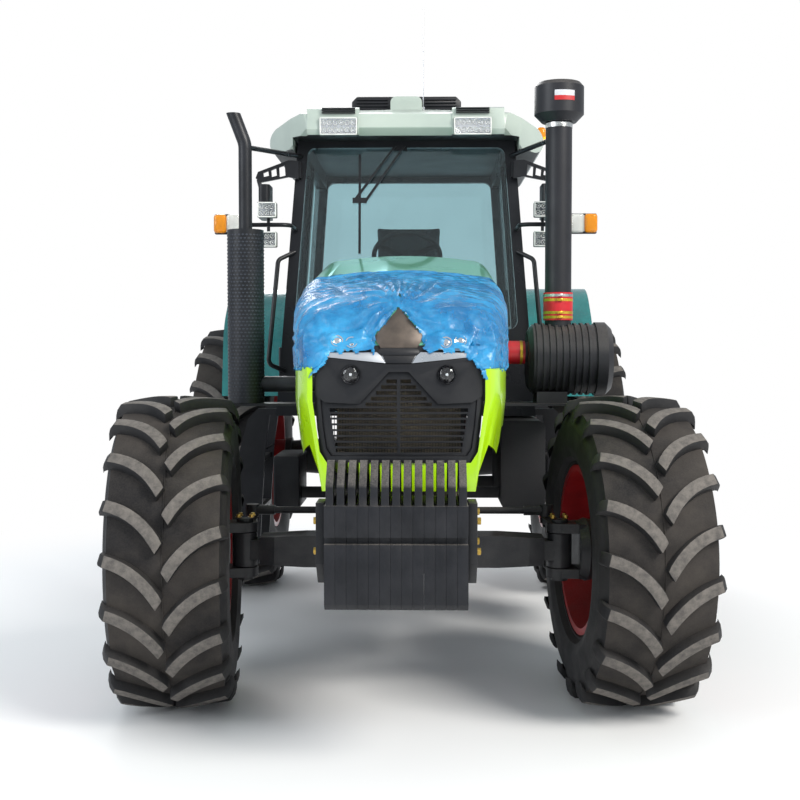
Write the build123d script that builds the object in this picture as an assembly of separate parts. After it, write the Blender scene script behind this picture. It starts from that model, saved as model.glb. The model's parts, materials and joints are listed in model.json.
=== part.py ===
"""Large four-wheel-drive farm tractor with cab, front weights and three-point linkage.

Millimetres. The tractor drives towards -Y, +Z is up and +X is its left side. The origin lies on
the floor, at the middle of the tractor's overall length and on its centre plane.
"""
from build123d import *
import math
import os

os.makedirs("parts", exist_ok=True)

# ------------------------------------------------------------------ driving dimensions
wheelbase = 2900
front_overhang = 1180           # front axle to the front face of the ballast weights
front_track = 2120              # between the middle planes of the front tyres
rear_track = 2360
front_tyre = {"radius": 732, "width": 540, "rim_radius": 381, "rim_width": 430}
rear_tyre = {"radius": 917.5, "width": 530, "rim_radius": 482.6, "rim_width": 440}
steer_rest = 5.5                # degrees that the front wheels are turned to the left as it is parked

seat_gap = 0.3                  # fixed pieces lie this far from what carries them
run_gap = 0.05                  # radial clearance of a pin or shaft in its bore
sheet = 4                       # outer panels of the bonnet
glass = 6

# three-point linkage
link_pivot_back = 205           # lower link pivot behind the rear axle
link_pivot_z = 620
link_pivot_half = 330           # half the spread of the two pivots
link_run = 990                  # lower link, pivot to ball eye, measured along the tractor
link_ball_drop = 60
link_ball_half = 482.5          # half the spread of the two ball eyes
link_eye_radius = 55
link_bore = 18.4
rear_overhang = link_pivot_back + link_run + link_eye_radius

overall_length = front_overhang + wheelbase + rear_overhang
front_y = -overall_length / 2
front_axle_y = front_y + front_overhang
rear_axle_y = front_axle_y + wheelbase
front_axle_z = front_tyre["radius"]
rear_axle_z = rear_tyre["radius"]

# front axle
kingpin_half = 750              # half the spread of the two kingpins
beam_height = 150
beam_depth = 170
kingpin_radius = 26
hub_offset = 60                 # wheel disc outside the middle plane of the front tyre

# engine and transmission, as blocks down the middle of the tractor
engine_half = 240
engine_bottom_z = 580
engine_top_z = 1750
flywheel_top_z = 1240
gearbox_half = 220
gearbox_bottom_z = 600
gearbox_top_z = 1180
rear_face_back = 330            # back face of the transmission behind the rear axle

# cab: a frustum whose four sides lean inwards
cab_floor_z = 1380
cab_bottom_z = 1300
cab_top_z = 2900
cab_front_bottom_y = rear_axle_y - 1685
cab_front_top_y = cab_front_bottom_y + 150
cab_rear_bottom_y = rear_axle_y + 35
cab_rear_top_y = cab_rear_bottom_y - 50
cab_bottom_half = 750
cab_top_half = 632
cab_wall = 55
door_depth = 36
door_gap = 6
door_rear_y = rear_axle_y - 1015    # rear edge of the door, along its hinge
b_post_y = door_rear_y + 12     # front face of the middle post
b_post_width = 60

# engine's ends, between the front axle and the cab
engine_front_y = front_axle_y + 335
engine_rear_y = cab_front_bottom_y + 210

# bonnet
bonnet_rear_y = cab_front_bottom_y - 60
bonnet_front_y = front_axle_y - 715
bonnet_hinge_y = bonnet_rear_y - 22
bonnet_hinge_z = 2150
bonnet_hinge_x = 200            # inner face of each hinge bracket
bonnet_pin = 10

# side equipment
stack_y = cab_front_bottom_y - 575  # exhaust stack, on the right-hand side
stack_x = -835
intake_y = cab_front_bottom_y - 475     # air intake, on the left-hand side
intake_x = 820
shelf_z = 1400


# ------------------------------------------------------------------ helpers
def box(x0, x1, y0, y1, z0, z1):
    centre = Pos((x0 + x1) / 2, (y0 + y1) / 2, (z0 + z1) / 2)
    return centre * Box(x1 - x0, y1 - y0, z1 - z0)


def prism(plane, points, start, end, radius=0):
    """Extrude a closed outline, given in a plane's own two axes, from start to end along its normal."""
    if radius:
        outline = FilletPolyline(*points, radius=radius, close=True)
    else:
        outline = Polyline(*points, close=True)
    return extrude(plane.offset(start) * make_face(outline), amount=end - start)


def side_prism(points, x0, x1, radius=0):
    """Outline in (y, z), extruded along X."""
    return prism(Plane.YZ, points, x0, x1, radius)


def front_prism(points, y0, y1, radius=0):
    """Outline in (x, z), extruded along Y."""
    return prism(Plane((0, 0, 0), x_dir=(1, 0, 0), z_dir=(0, -1, 0)), points, -y1, -y0, radius)


def plan_prism(points, z0, z1, radius=0):
    """Outline in (x, y), extruded along Z."""
    return prism(Plane.XY, points, z0, z1, radius)


def bar(start, end, radius, bore=0):
    """Round bar or tube between two points."""
    start, end = Vector(*start), Vector(*end)
    plane = Plane(origin=start, z_dir=end - start)
    length = (end - start).length
    solid = extrude(plane * Circle(radius), amount=length)
    if bore:
        solid -= extrude(plane * Circle(bore), amount=length)
    return solid


def bent_tube(points, radius, bends):
    """Round rail through points, with a bend radius at each inner point."""
    path = FilletPolyline(*points, radius=bends)
    return sweep(Plane(path @ 0, z_dir=path % 0) * Circle(radius), path=path)


def both_sides(solid):
    """The piece and its mirror image on the other side of the tractor."""
    return [solid, mirror(solid, about=Plane.YZ)]


def symmetric(points):
    """Close a half outline, listed from its top to its bottom at x > 0, with its mirror image."""
    return points + [(-x, z) for x, z in reversed(points)]


def solids_of(shapes):
    found = []
    for shape in shapes:
        found += shape.solids()
    return found


def save(name, *shapes):
    export_step(Compound(solids_of(shapes)), f"parts/{name}.step")


# ------------------------------------------------------------------ wheels
def tyre(size):
    """Carcass with its crown at the tops of the lugs, standing on the rim's seat."""
    radius, half = size["radius"], size["width"] / 2
    bead_half = size["rim_width"] / 2 - seat_gap
    bead_radius = size["rim_radius"] + seat_gap
    lip_radius = bead_radius + 26
    tread_half = half * 0.94
    shoulder_radius = radius - 22
    bulge_radius = bead_radius + (radius - bead_radius) * 0.5
    outline = [
        Line((-bead_half, bead_radius), (-bead_half, lip_radius)),
        ThreePointArc((-bead_half, lip_radius), (-half, bulge_radius), (-tread_half, shoulder_radius)),
        ThreePointArc((-tread_half, shoulder_radius), (0, radius), (tread_half, shoulder_radius)),
        ThreePointArc((tread_half, shoulder_radius), (half, bulge_radius), (bead_half, lip_radius)),
        Line((bead_half, lip_radius), (bead_half, bead_radius)),
        Line((bead_half, bead_radius), (-bead_half, bead_radius)),
    ]
    return revolve(make_face(outline), Axis.X)


def rim(size, disc_x, hub_radius, hub_from, hub_to, bore_radius, bore_to):
    """Barrel with two flanges, dished disc with hand holes, and the wheel's own hub."""
    half = size["rim_width"] / 2
    seat, lip, wall, flange = size["rim_radius"], 22, 9, 10
    disc = 14
    inner = seat - wall
    barrel = make_face(Polyline(
        (-half - flange, inner), (half + flange, inner), (half + flange, seat + lip), (half, seat + lip),
        (half, seat), (-half, seat), (-half, seat + lip), (-half - flange, seat + lip), close=True))
    dish = make_face(Polyline(
        (disc_x, hub_radius - 20), (disc_x, inner * 0.72), (disc_x - 50, inner + 1),
        (disc_x - 50 + disc, inner + 1), (disc_x + disc, inner * 0.72), (disc_x + disc, hub_radius - 20),
        close=True))
    hub = make_face(Polyline(
        (hub_from, bore_radius), (hub_from, hub_radius), (disc_x - 6, hub_radius),
        (disc_x - 6, hub_radius + 30), (disc_x + disc + 12, hub_radius + 30),
        (disc_x + disc + 12, hub_radius - 12), (hub_to - 14, hub_radius - 30), (hub_to, hub_radius - 52),
        (hub_to, 0), (bore_to, 0), (bore_to, bore_radius), close=True))
    solid = revolve(barrel, Axis.X) + revolve(dish, Axis.X) + revolve(hub, Axis.X)
    hand_hole = extrude(Plane.YZ.offset(disc_x - 80) * Circle(34), amount=160)
    ring = (hub_radius + 30 + inner * 0.72) / 2 + 12
    for number in range(8):
        angle = math.radians(number * 45 + 22.5)
        solid -= Pos(0, ring * math.cos(angle), ring * math.sin(angle)) * hand_hole
    return solid


def place_front(solid, side):
    """From wheel coordinates (x outwards from the kingpin) to the parked steering angle."""
    if side < 0:
        solid = mirror(solid, about=Plane.YZ)
    return Pos(side * kingpin_half, front_axle_y, front_axle_z) * (Rot(0, 0, steer_rest) * solid)


def place_rear(solid, side):
    if side < 0:
        solid = mirror(solid, about=Plane.YZ)
    return Pos(side * rear_track / 2, rear_axle_y, rear_axle_z) * solid


front_wheel_out = front_track / 2 - kingpin_half     # kingpin to the middle plane of the tyre
spindle_radius = 62
spindle_end = 250
knuckle_face = 165
rear_shaft_radius = 58
trumpet_end = 880               # outer end of the rear axle housing, from the middle

sides = {"left": 1, "right": -1}
for name, side in sides.items():
    front_rim = rim(front_tyre, hub_offset, 125, knuckle_face - front_wheel_out + 6, hub_offset + 96,
                    spindle_radius + run_gap, spindle_end - front_wheel_out + 4)
    save(f"front_{name}_tyre", place_front(Pos(front_wheel_out, 0, 0) * tyre(front_tyre), side))
    save(f"front_{name}_rim", place_front(Pos(front_wheel_out, 0, 0) * front_rim, side))
    rear_rim = rim(rear_tyre, -20, 120, trumpet_end - rear_track / 2 + 6, 70,
                   rear_shaft_radius + run_gap, -60)
    save(f"rear_{name}_tyre", place_rear(tyre(rear_tyre), side))
    save(f"rear_{name}_rim", place_rear(rear_rim, side))


# ------------------------------------------------------------------ front axle and steering
ear_radius = 62
ear_thickness = 44
boss_half_height = 80           # half height of the beam's end boss
ear_gap = 5
arm_reach = 170                 # steering arm: kingpin to the track rod's eye
arm_out = -30
arm_thickness = 26
arm_z = boss_half_height + ear_gap + ear_thickness - arm_thickness   # underside of the arm


def knuckle():
    """C-shaped swivel housing: two ears on the kingpins, final drive barrel and steering arm."""
    ear_z = boss_half_height + ear_gap
    solid = Part()
    for level in (ear_z, -ear_z - ear_thickness):
        ear = plan_prism([(0, -ear_radius), (112, -82), (112, 82), (0, ear_radius)],
                         level, level + ear_thickness)
        solid += ear + bar((0, 0, level), (0, 0, level + ear_thickness), ear_radius)
    top = ear_z + ear_thickness
    web = box(78, 112, -82, 82, -top, top)
    barrel = make_face(Polyline((78, 0), (78, 132), (118, 150), (knuckle_face, 140),
                                (knuckle_face, spindle_radius), (spindle_end, spindle_radius),
                                (spindle_end, 0), close=True))
    solid += web + revolve(barrel, Axis.X)
    arm = plan_prism([(-50, 0), (ear_radius, 0), (arm_out + 24, arm_reach), (arm_out - 24, arm_reach)],
                     arm_z, arm_z + arm_thickness)
    solid += arm + bar((arm_out, arm_reach, arm_z), (arm_out, arm_reach, arm_z + arm_thickness), 30)
    for direction in (1, -1):
        pin = bar((0, 0, direction * (ear_z - ear_gap - 48)), (0, 0, direction * (top - 4)), kingpin_radius)
        cap = bar((0, 0, direction * (top - 6)), (0, 0, direction * (top + 16)), 40)
        solid += pin + cap
    return solid


for name, side in sides.items():
    save(f"front_{name}_knuckle", place_front(knuckle(), side))

diff_radius = 142
trunnion_radius = 62
hanger_front = 150              # front hanger of the frame, before the axle
hanger_rear = 222               # rear hanger, behind the steering cylinder
hanger_thickness = 62
cylinder_back = 168             # steering cylinder behind the axle
cylinder_z = front_axle_z + arm_z + arm_thickness + 34
cylinder_radius = 42
cylinder_half = 190
rod_radius = 17


def axle_beam():
    """Beam with a round differential case, end bosses for the kingpins and pivot trunnions."""
    half_height, half_depth = beam_height / 2, beam_depth / 2
    end_half = 60
    outline = [(-kingpin_half, -end_half), (-460, -half_height), (460, -half_height),
               (kingpin_half, -end_half), (kingpin_half, end_half), (460, half_height),
               (-460, half_height), (-kingpin_half, end_half)]
    solid = front_prism(outline, -half_depth, half_depth)
    notch = plan_prism([(kingpin_half - 78, -200), (kingpin_half + 90, -200),
                        (kingpin_half + 90, 200), (kingpin_half - 78, 200)], -200, 200)
    taper = plan_prism([(kingpin_half - 150, half_depth), (kingpin_half, 58), (kingpin_half, 200),
                        (kingpin_half - 150, 200)], -200, 200)
    neck = box(kingpin_half - 90, kingpin_half, -50, 50, -46, 46)
    for side in (1, -1):
        cutters = [notch, taper, mirror(taper, about=Plane.XZ)]
        for cutter in cutters:
            solid -= cutter if side > 0 else mirror(cutter, about=Plane.YZ)
        boss = bar((side * kingpin_half, 0, -boss_half_height), (side * kingpin_half, 0, boss_half_height), 58)
        solid += boss + (neck if side > 0 else mirror(neck, about=Plane.YZ))
    for side in (1, -1):
        solid -= bar((side * kingpin_half, 0, -200), (side * kingpin_half, 0, 200), kingpin_radius + run_gap)
    case = make_face(Polyline((-140, 0), (-140, 96), (-60, diff_radius), (60, diff_radius), (140, 96),
                              (140, 0), close=True))
    solid += revolve(case, Axis.X)
    solid += bar((0, -hanger_front - hanger_thickness, 0), (0, hanger_rear + hanger_thickness, 0),
                 trunnion_radius)
    return Pos(0, front_axle_y, front_axle_z) * solid


def steering_cylinder():
    """Double-ended cylinder barrel on two brackets that stand on the beam."""
    y = front_axle_y + cylinder_back
    solid = bar((-cylinder_half, y, cylinder_z), (cylinder_half, y, cylinder_z), cylinder_radius)
    for x in (-cylinder_half + 30, cylinder_half - 30):
        solid += bar((x - 18, y, cylinder_z), (x + 18, y, cylinder_z), cylinder_radius + 12)
        solid += side_prism([(y - cylinder_radius, cylinder_z - 6), (y + cylinder_radius, cylinder_z - 6),
                             (front_axle_y + beam_depth / 2 - 8, front_axle_z + beam_height / 2 - 10),
                             (front_axle_y + 20, front_axle_z + beam_height / 2 - 10)], x - 16, x + 16)
    solid -= bar((-cylinder_half - 40, y, cylinder_z), (cylinder_half + 40, y, cylinder_z),
                 rod_radius + run_gap)
    return solid


def steering_rod():
    """Piston rod through the cylinder, with a track rod head over each steering arm."""
    y = front_axle_y + cylinder_back
    angle = math.radians(steer_rest)
    left_x, right_x = [side * (kingpin_half + arm_out * math.cos(angle)) - arm_reach * math.sin(angle)
                       for side in (1, -1)]
    solid = bar((right_x, y, cylinder_z), (left_x, y, cylinder_z), rod_radius)
    head_low = front_axle_z + arm_z + arm_thickness + 6
    for x in (left_x, right_x):
        solid += bar((x, y, head_low), (x, y, cylinder_z + 28), 32)
    for x, inner in ((left_x, left_x - 110), (right_x, right_x + 110)):
        solid += bar((x, y, cylinder_z), (inner, y, cylinder_z), 24)
    return solid


save("front_axle_beam", axle_beam() + steering_cylinder())
save("steering_rod", steering_rod())


# ------------------------------------------------------------------ frame, engine, transmission
frame_half = 225
frame_top_z = 1060
frame_bottom_z = 905
frame_arch_z = 965              # underside over the axle and its steering cylinder
frame_front_y = front_axle_y - 755
radiator_top_z = 1600


def front_frame():
    """Cast front support: a tub over the axle with two hangers for the axle's pivot."""
    rear_y = engine_front_y - seat_gap
    solid = side_prism([(frame_front_y, frame_bottom_z), (front_axle_y - 240, frame_bottom_z),
                        (front_axle_y - 200, frame_arch_z), (rear_y - 30, frame_arch_z), (rear_y, 860),
                        (rear_y, frame_top_z), (frame_front_y, frame_top_z)], -frame_half, frame_half)
    solid -= box(-frame_half + 32, frame_half - 32, frame_front_y + 32, rear_y - 60, frame_arch_z + 30,
                 frame_top_z + 10)
    for y in (front_axle_y - hanger_front - hanger_thickness, front_axle_y + hanger_rear):
        hanger = front_prism([(-150, frame_arch_z + 10), (150, frame_arch_z + 10),
                              (95, front_axle_z - 95), (-95, front_axle_z - 95)], y, y + hanger_thickness)
        solid += hanger
    solid -= bar((0, front_axle_y - 400, front_axle_z), (0, front_axle_y + 400, front_axle_z),
                 trunnion_radius + run_gap)
    return solid


def radiator():
    """Radiator behind the grille: core between two tanks, on the side walls of the front frame."""
    front = bonnet_front_y + 90
    low = frame_top_z + seat_gap
    solid = box(-262, 262, front, front + 90, low, radiator_top_z)
    solid -= box(-232, 232, front - 1, front + 8, low + 70, radiator_top_z - 60)
    neck = bar((0, front + 45, radiator_top_z - 2), (0, front + 45, radiator_top_z + 34), 32)
    return solid + neck


def engine_block():
    """Plain block for the engine; its lower rear part, the flywheel housing, reaches under the cab."""
    step_y = cab_front_bottom_y - 60
    return side_prism([(engine_front_y, engine_bottom_z + 60), (engine_front_y + 80, engine_bottom_z),
                       (engine_rear_y, engine_bottom_z), (engine_rear_y, flywheel_top_z),
                       (step_y, flywheel_top_z), (step_y, engine_top_z - 60), (step_y - 60, engine_top_z),
                       (engine_front_y + 60, engine_top_z), (engine_front_y, engine_top_z - 60)],
                      -engine_half, engine_half)


def transmission_housing():
    """Clutch bell, gearbox and rear axle casting with its trumpets and the hitch lift housing."""
    rear_y = rear_axle_y + rear_face_back
    front = engine_rear_y + seat_gap
    solid = loft([Plane((0, front, 0), x_dir=(1, 0, 0), z_dir=(0, 1, 0)) * Pos(0, -(engine_bottom_z + 330))
                  * RectangleRounded(2 * engine_half - 10, 640, 120),
                  Plane((0, front + 260, 0), x_dir=(1, 0, 0), z_dir=(0, 1, 0))
                  * Pos(0, -(gearbox_bottom_z + gearbox_top_z) / 2)
                  * RectangleRounded(2 * gearbox_half - 40, gearbox_top_z - gearbox_bottom_z, 60)])
    solid += side_prism([(front + 250, gearbox_bottom_z), (rear_axle_y - 260, gearbox_bottom_z),
                         (rear_axle_y - 180, gearbox_bottom_z - 60), (rear_y, gearbox_bottom_z - 20),
                         (rear_y, gearbox_top_z), (front + 250, gearbox_top_z)],
                        -gearbox_half + 20, gearbox_half - 20)
    trumpet = make_face(Polyline((0, 0), (0, 200), (gearbox_half, 200), (gearbox_half + 90, 150),
                                 (trumpet_end - 40, 112), (trumpet_end - 40, 135), (trumpet_end, 135),
                                 (trumpet_end, rear_shaft_radius), (rear_track / 2 - 66, rear_shaft_radius),
                                 (rear_track / 2 - 66, 0), close=True))
    half_axle = Pos(0, rear_axle_y, rear_axle_z) * revolve(trumpet, Axis.X)
    for half in both_sides(half_axle):
        solid += half
    return solid


# ------------------------------------------------------------------ ballast weights and their carrier
weight_count = 13
weight_thickness = 41.6
weight_gap = 0.55
weight_pitch = weight_thickness + weight_gap
weight_handle_thickness = 29
weight_bottom_z = 691
weight_body_top_z = 1091
weight_handle_z = 1258
weight_groove_z = (944, 971)
weight_depth = 330
hook_bar = 60
hook_bar_back = 240             # hook bar's front face behind the weights' front face
hook_bar_z = 985
carrier_plate = 34


def front_weight(x):
    """Suitcase weight: grooved block with a hooked rear edge and a thinner, rounded hand grip."""
    front, back = front_y, front_y + weight_depth
    bar_front, bar_top = front_y + hook_bar_back - seat_gap, hook_bar_z + hook_bar + seat_gap
    low, high = weight_groove_z
    outline = [(front + 22, weight_bottom_z), (front, weight_bottom_z + 24), (front, low), (front + 26, low),
               (front + 26, high), (front, high), (front, weight_body_top_z), (back, weight_body_top_z),
               (back, hook_bar_z + 14), (bar_front + hook_bar + 2 * seat_gap, hook_bar_z + 14),
               (bar_front + hook_bar + 2 * seat_gap, bar_top), (bar_front, bar_top),
               (bar_front, hook_bar_z - 40), (back - 110, weight_bottom_z)]
    handle = [(front + 1, weight_body_top_z - 42), (front + 4, weight_handle_z - 92),
              (front + 92, weight_handle_z), (back - 74, weight_handle_z - 22),
              (back - 6, weight_body_top_z + 30), (back - 6, weight_body_top_z - 42)]
    grip = [(front + 62, weight_body_top_z + 26), (front + 74, weight_handle_z - 52),
            (front + 124, weight_handle_z - 34), (back - 96, weight_handle_z - 68),
            (back - 88, weight_body_top_z + 26)]
    left, right = x - weight_thickness / 2, x + weight_thickness / 2
    thin = (weight_thickness - weight_handle_thickness) / 2
    solid = side_prism(outline, left, right) + side_prism(handle, left + thin, right - thin, radius=28)
    return solid - side_prism(grip, left - 1, right + 1, radius=16)


def weight_carrier():
    """Hook bar between two side plates, welded to a foot that is bolted to the front frame."""
    half = weight_count * weight_pitch / 2 + 2
    bar_y = front_y + hook_bar_back
    solid = box(-half - 1, half + 1, bar_y, bar_y + hook_bar, hook_bar_z, hook_bar_z + hook_bar)
    foot_y = frame_front_y - seat_gap
    plate = side_prism([(front_y + 60, 860), (front_y + 150, 770), (foot_y - 60, 770), (foot_y, 860),
                        (foot_y, 1050), (front_y + 200, 1095), (front_y + 60, 1095)],
                       half, half + carrier_plate)
    for piece in both_sides(plate):
        solid += piece
    solid += box(-half - carrier_plate, half + carrier_plate, foot_y - 40, foot_y, 880, 1050)
    solid += box(-160, 160, bar_y + 2, foot_y - 30, hook_bar_z - 50, hook_bar_z + 4)
    return solid


first = -(weight_count - 1) / 2
save("front_weights", *[front_weight((first + number) * weight_pitch) for number in range(weight_count)])
save("weight_carrier", weight_carrier())
save("front_frame", front_frame())
save("radiator", radiator())
save("engine_block", engine_block())


# ------------------------------------------------------------------ rear hitch
rear_face_y = rear_axle_y + rear_face_back
shaft_y = rear_axle_y + 135     # lift shaft
shaft_z = 1300
shaft_radius = 38
arm_x = 405                     # lift arms and rods, from the middle
lift_arm = 330                  # lift shaft to the lift rod's upper eye
lift_arm_angle = 14
rod_eye_back = 495              # lower link pivot to the lift rod's pin
link_thickness = 40
pivot_y = rear_axle_y + link_pivot_back
ball_y = pivot_y + link_run
ball_z = link_pivot_z - link_ball_drop
rod_upper_y = shaft_y + lift_arm * math.cos(math.radians(lift_arm_angle))
rod_upper_z = shaft_z + lift_arm * math.sin(math.radians(lift_arm_angle))
rod_pin_y = pivot_y + rod_eye_back
rod_pin_z = link_pivot_z - link_ball_drop * rod_eye_back / link_run
top_pin_y = rear_face_y + 70
top_pin_z = 1105
top_link_length = 620
top_link_lean = 76              # degrees above the floor as it is stowed
top_bore = 16.2
pto_radius = 22.2
pto_length = 90
pto_z = 735
drawbar_hole = 16.5
drawbar_z = 430
drawbar_end_y = rear_axle_y + 880


def with_hitch_housing(solid):
    """Add the lift housing, link pivot ears, top link ears and drawbar hanger to the casting."""
    solid += side_prism([(shaft_y - 190, gearbox_top_z - 10), (rear_face_y, gearbox_top_z - 10),
                         (rear_face_y, shaft_z - 60), (shaft_y + 75, shaft_z + 62),
                         (shaft_y - 75, shaft_z + 62), (shaft_y - 90, shaft_z - 10),
                         (shaft_y - 190, shaft_z - 60)], -175, 175)
    solid += bar((-arm_x + 34, shaft_y, shaft_z), (arm_x - 34, shaft_y, shaft_z), 70)
    for side in (1, -1):
        inner, outer = side * (link_pivot_half - 58), side * (link_pivot_half + 58)
        solid += box(min(side * 150, inner - side * 16), max(side * 150, inner - side * 16), pivot_y - 60,
                     pivot_y + 45, link_pivot_z - 60, link_pivot_z + 70)
        solid += bar((inner - side * 16, pivot_y, link_pivot_z), (outer, pivot_y, link_pivot_z), 24)
        solid += bar((outer - side * 8, pivot_y, link_pivot_z), (outer + side * 10, pivot_y, link_pivot_z), 36)
    for x in (-52, 32):
        solid += side_prism([(rear_face_y - 4, top_pin_z - 70), (top_pin_y + 20, top_pin_z - 34),
                             (top_pin_y + 34, top_pin_z), (top_pin_y + 20, top_pin_z + 34),
                             (rear_face_y - 4, top_pin_z + 60)], x, x + 20)
    solid += bar((-60, top_pin_y, top_pin_z), (60, top_pin_y, top_pin_z), 15)
    for x in (-75, 45):
        solid += box(x, x + 30, rear_face_y - 220, rear_face_y - 20, drawbar_z + 56, gearbox_bottom_z - 10)
    solid += box(-75, 75, rear_face_y - 220, rear_face_y - 20, drawbar_z + 50.3, drawbar_z + 80)
    shaft_bore = shaft_radius + run_gap
    solid -= bar((-arm_x, shaft_y, shaft_z), (arm_x, shaft_y, shaft_z), shaft_bore)
    solid -= bar((0, rear_face_y - 120, pto_z), (0, rear_face_y + 10, pto_z), pto_radius + 4)
    return solid


def lift_arms():
    """Lift shaft through the housing with an arm on each end."""
    solid = bar((-arm_x - 22, shaft_y, shaft_z), (arm_x + 22, shaft_y, shaft_z), shaft_radius)
    for side in (1, -1):
        low, high = side * arm_x - 22, side * arm_x + 22
        solid += bar((low, shaft_y, shaft_z), (high, shaft_y, shaft_z), 66)
        solid += bar((low, rod_upper_y, rod_upper_z), (high, rod_upper_y, rod_upper_z), 40)
        along = Vector(0, rod_upper_y - shaft_y, rod_upper_z - shaft_z)
        plane = Plane(origin=(side * arm_x, shaft_y, shaft_z), x_dir=(1, 0, 0), z_dir=along)
        solid += extrude(plane * Rectangle(44, 64), amount=along.length)
    for side in (1, -1):
        solid -= bar((side * arm_x - 60, rod_upper_y, rod_upper_z),
                     (side * arm_x + 60, rod_upper_y, rod_upper_z), 14 + run_gap)
    return solid


def lift_rod(side):
    """Lift rod: fork and pin on the arm, turnbuckle, and an open fork over the lower link."""
    x = side * arm_x
    down = Vector(0, rod_pin_y - rod_upper_y, rod_pin_z - rod_upper_z)
    plane = Plane(origin=(x, rod_upper_y, rod_upper_z), x_dir=(1, 0, 0), z_dir=down)
    length = down.length

    def fork(gap, start, end, direction):
        low, high = (start, end) if start < end else (end, start)
        piece = extrude(plane.offset(low) * Rectangle(gap + 36, 60), amount=high - low)
        return piece - extrude(plane.offset(low + direction * 26) * Rectangle(gap, 80), amount=high - low)

    solid = fork(54, -34, 96, -1) + fork(56, length - 126, length + 40, 1)
    solid += extrude(plane.offset(80) * Circle(17), amount=length - 160)
    solid += extrude(plane.offset(190) * Circle(27), amount=300)
    solid += bar((x - 50, rod_upper_y, rod_upper_z), (x + 50, rod_upper_y, rod_upper_z), 14)
    solid -= bar((x - 60, rod_pin_y, rod_pin_z), (x + 60, rod_pin_y, rod_pin_z), 24)
    return solid


def lower_link(side):
    """Flat lower link with a front eye on its pivot pin, a lift pin and a rear ball eye."""
    pivot_x, mid_x, ball_x = side * link_pivot_half, side * arm_x, side * link_ball_half
    half = link_thickness / 2
    points = [(pivot_x, pivot_y), (mid_x, rod_pin_y - 130), (mid_x, rod_pin_y + 130), (ball_x, ball_y - 40)]
    outline = [(x - half, y) for x, y in points] + [(x + half, y) for x, y in reversed(points)]
    plate = plan_prism(outline, ball_z - 120, link_pivot_z + 120)
    web = side_prism([(pivot_y, link_pivot_z - 38), (rod_pin_y, rod_pin_z - 48), (ball_y, ball_z - 34),
                      (ball_y, ball_z + 34), (rod_pin_y, rod_pin_z + 48), (pivot_y, link_pivot_z + 38)],
                     pivot_x - 400, pivot_x + 400)
    solid = plate & web
    solid += bar((pivot_x - 30, pivot_y, link_pivot_z), (pivot_x + 30, pivot_y, link_pivot_z), 48)
    solid += bar((ball_x - 22.5, ball_y, ball_z), (ball_x + 22.5, ball_y, ball_z), link_eye_radius)
    solid += bar((mid_x - half - 6, rod_pin_y, rod_pin_z), (mid_x + half + 6, rod_pin_y, rod_pin_z), 13)
    solid -= bar((pivot_x - 90, pivot_y, link_pivot_z), (pivot_x + 90, pivot_y, link_pivot_z), 24 + run_gap)
    return solid - bar((ball_x - 60, ball_y, ball_z), (ball_x + 60, ball_y, ball_z), link_bore)


def top_link():
    """Turnbuckle top link, stowed upright: an eye on the pin and a ball eye at its free end."""
    lean = math.radians(top_link_lean)
    end_y = top_pin_y + top_link_length * math.cos(lean)
    end_z = top_pin_z + top_link_length * math.sin(lean)
    start, end = Vector(0, top_pin_y, top_pin_z), Vector(0, end_y, end_z)
    along = (end - start).normalized()
    solid = bar(start, end, 16) + bar(start + along * 150, end - along * 150, 26)
    for centre, radius, bore in ((start, 34, 15 + run_gap), (end, 38, top_bore)):
        y, z = centre.Y, centre.Z
        solid += bar((-25, y, z), (25, y, z), radius)
        solid -= bar((-30, y, z), (30, y, z), bore)
    return solid


def drawbar():
    """Straight drawbar under the axle with an eye plate for the implement's pin."""
    solid = plan_prism([(-40, rear_axle_y - 500), (40, rear_axle_y - 500), (40, drawbar_end_y - 40),
                        (22, drawbar_end_y), (-22, drawbar_end_y), (-40, drawbar_end_y - 40)],
                       drawbar_z, drawbar_z + 50)
    solid += box(-55, 55, rear_axle_y - 520, rear_axle_y - 400, drawbar_z, gearbox_bottom_z - seat_gap)
    hole = bar((0, drawbar_end_y - 60, drawbar_z - 9), (0, drawbar_end_y - 60, drawbar_z + 80), drawbar_hole)
    return solid - hole


def pto_stub():
    """Power take-off: stub shaft with a thicker journal seated in the casting."""
    journal = bar((0, rear_face_y - 118, pto_z), (0, rear_face_y, pto_z), pto_radius + 4 - run_gap)
    return journal + bar((0, rear_face_y - 2, pto_z), (0, rear_face_y + pto_length, pto_z), pto_radius)


save("transmission_housing", with_hitch_housing(transmission_housing()))
save("lift_arms", lift_arms())
save("lift_rods", lift_rod(1), lift_rod(-1))
save("lower_links", lower_link(1), lower_link(-1))
save("top_link", top_link())
save("drawbar", drawbar())
save("pto_stub", pto_stub())


# ------------------------------------------------------------------ cab
cab_rise = cab_top_z - cab_bottom_z
side_lean = (cab_bottom_half - cab_top_half) / cab_rise          # inward run per unit of height
front_lean = (cab_front_top_y - cab_front_bottom_y) / cab_rise
rear_lean = (cab_rear_bottom_y - cab_rear_top_y) / cab_rise
post = 62
header_z = 2820                 # upper edge of the windows
sill_z = 1385                   # lower edge of the door
windscreen_low_z = 1800
quarter_low_z = 1830
rear_low_z = 1700
fender_edge_x = 1190


def side_x(z):
    return cab_bottom_half - (z - cab_bottom_z) * side_lean


def windscreen_y(z):
    return cab_front_bottom_y + (z - cab_bottom_z) * front_lean


def rear_wall_y(z):
    return cab_rear_bottom_y - (z - cab_bottom_z) * rear_lean


def cab_form(inset, low=cab_bottom_z, high=cab_top_z):
    """The cab's outer frustum, or the same with its four sides moved inwards."""
    sections = []
    for z in (low, high):
        half, front, rear = side_x(z) - inset, windscreen_y(z) + inset, rear_wall_y(z) - inset
        sections.append(Plane.XY.offset(z) * Pos(0, (front + rear) / 2) * Rectangle(2 * half, rear - front))
    return loft(sections, ruled=True)


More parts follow.
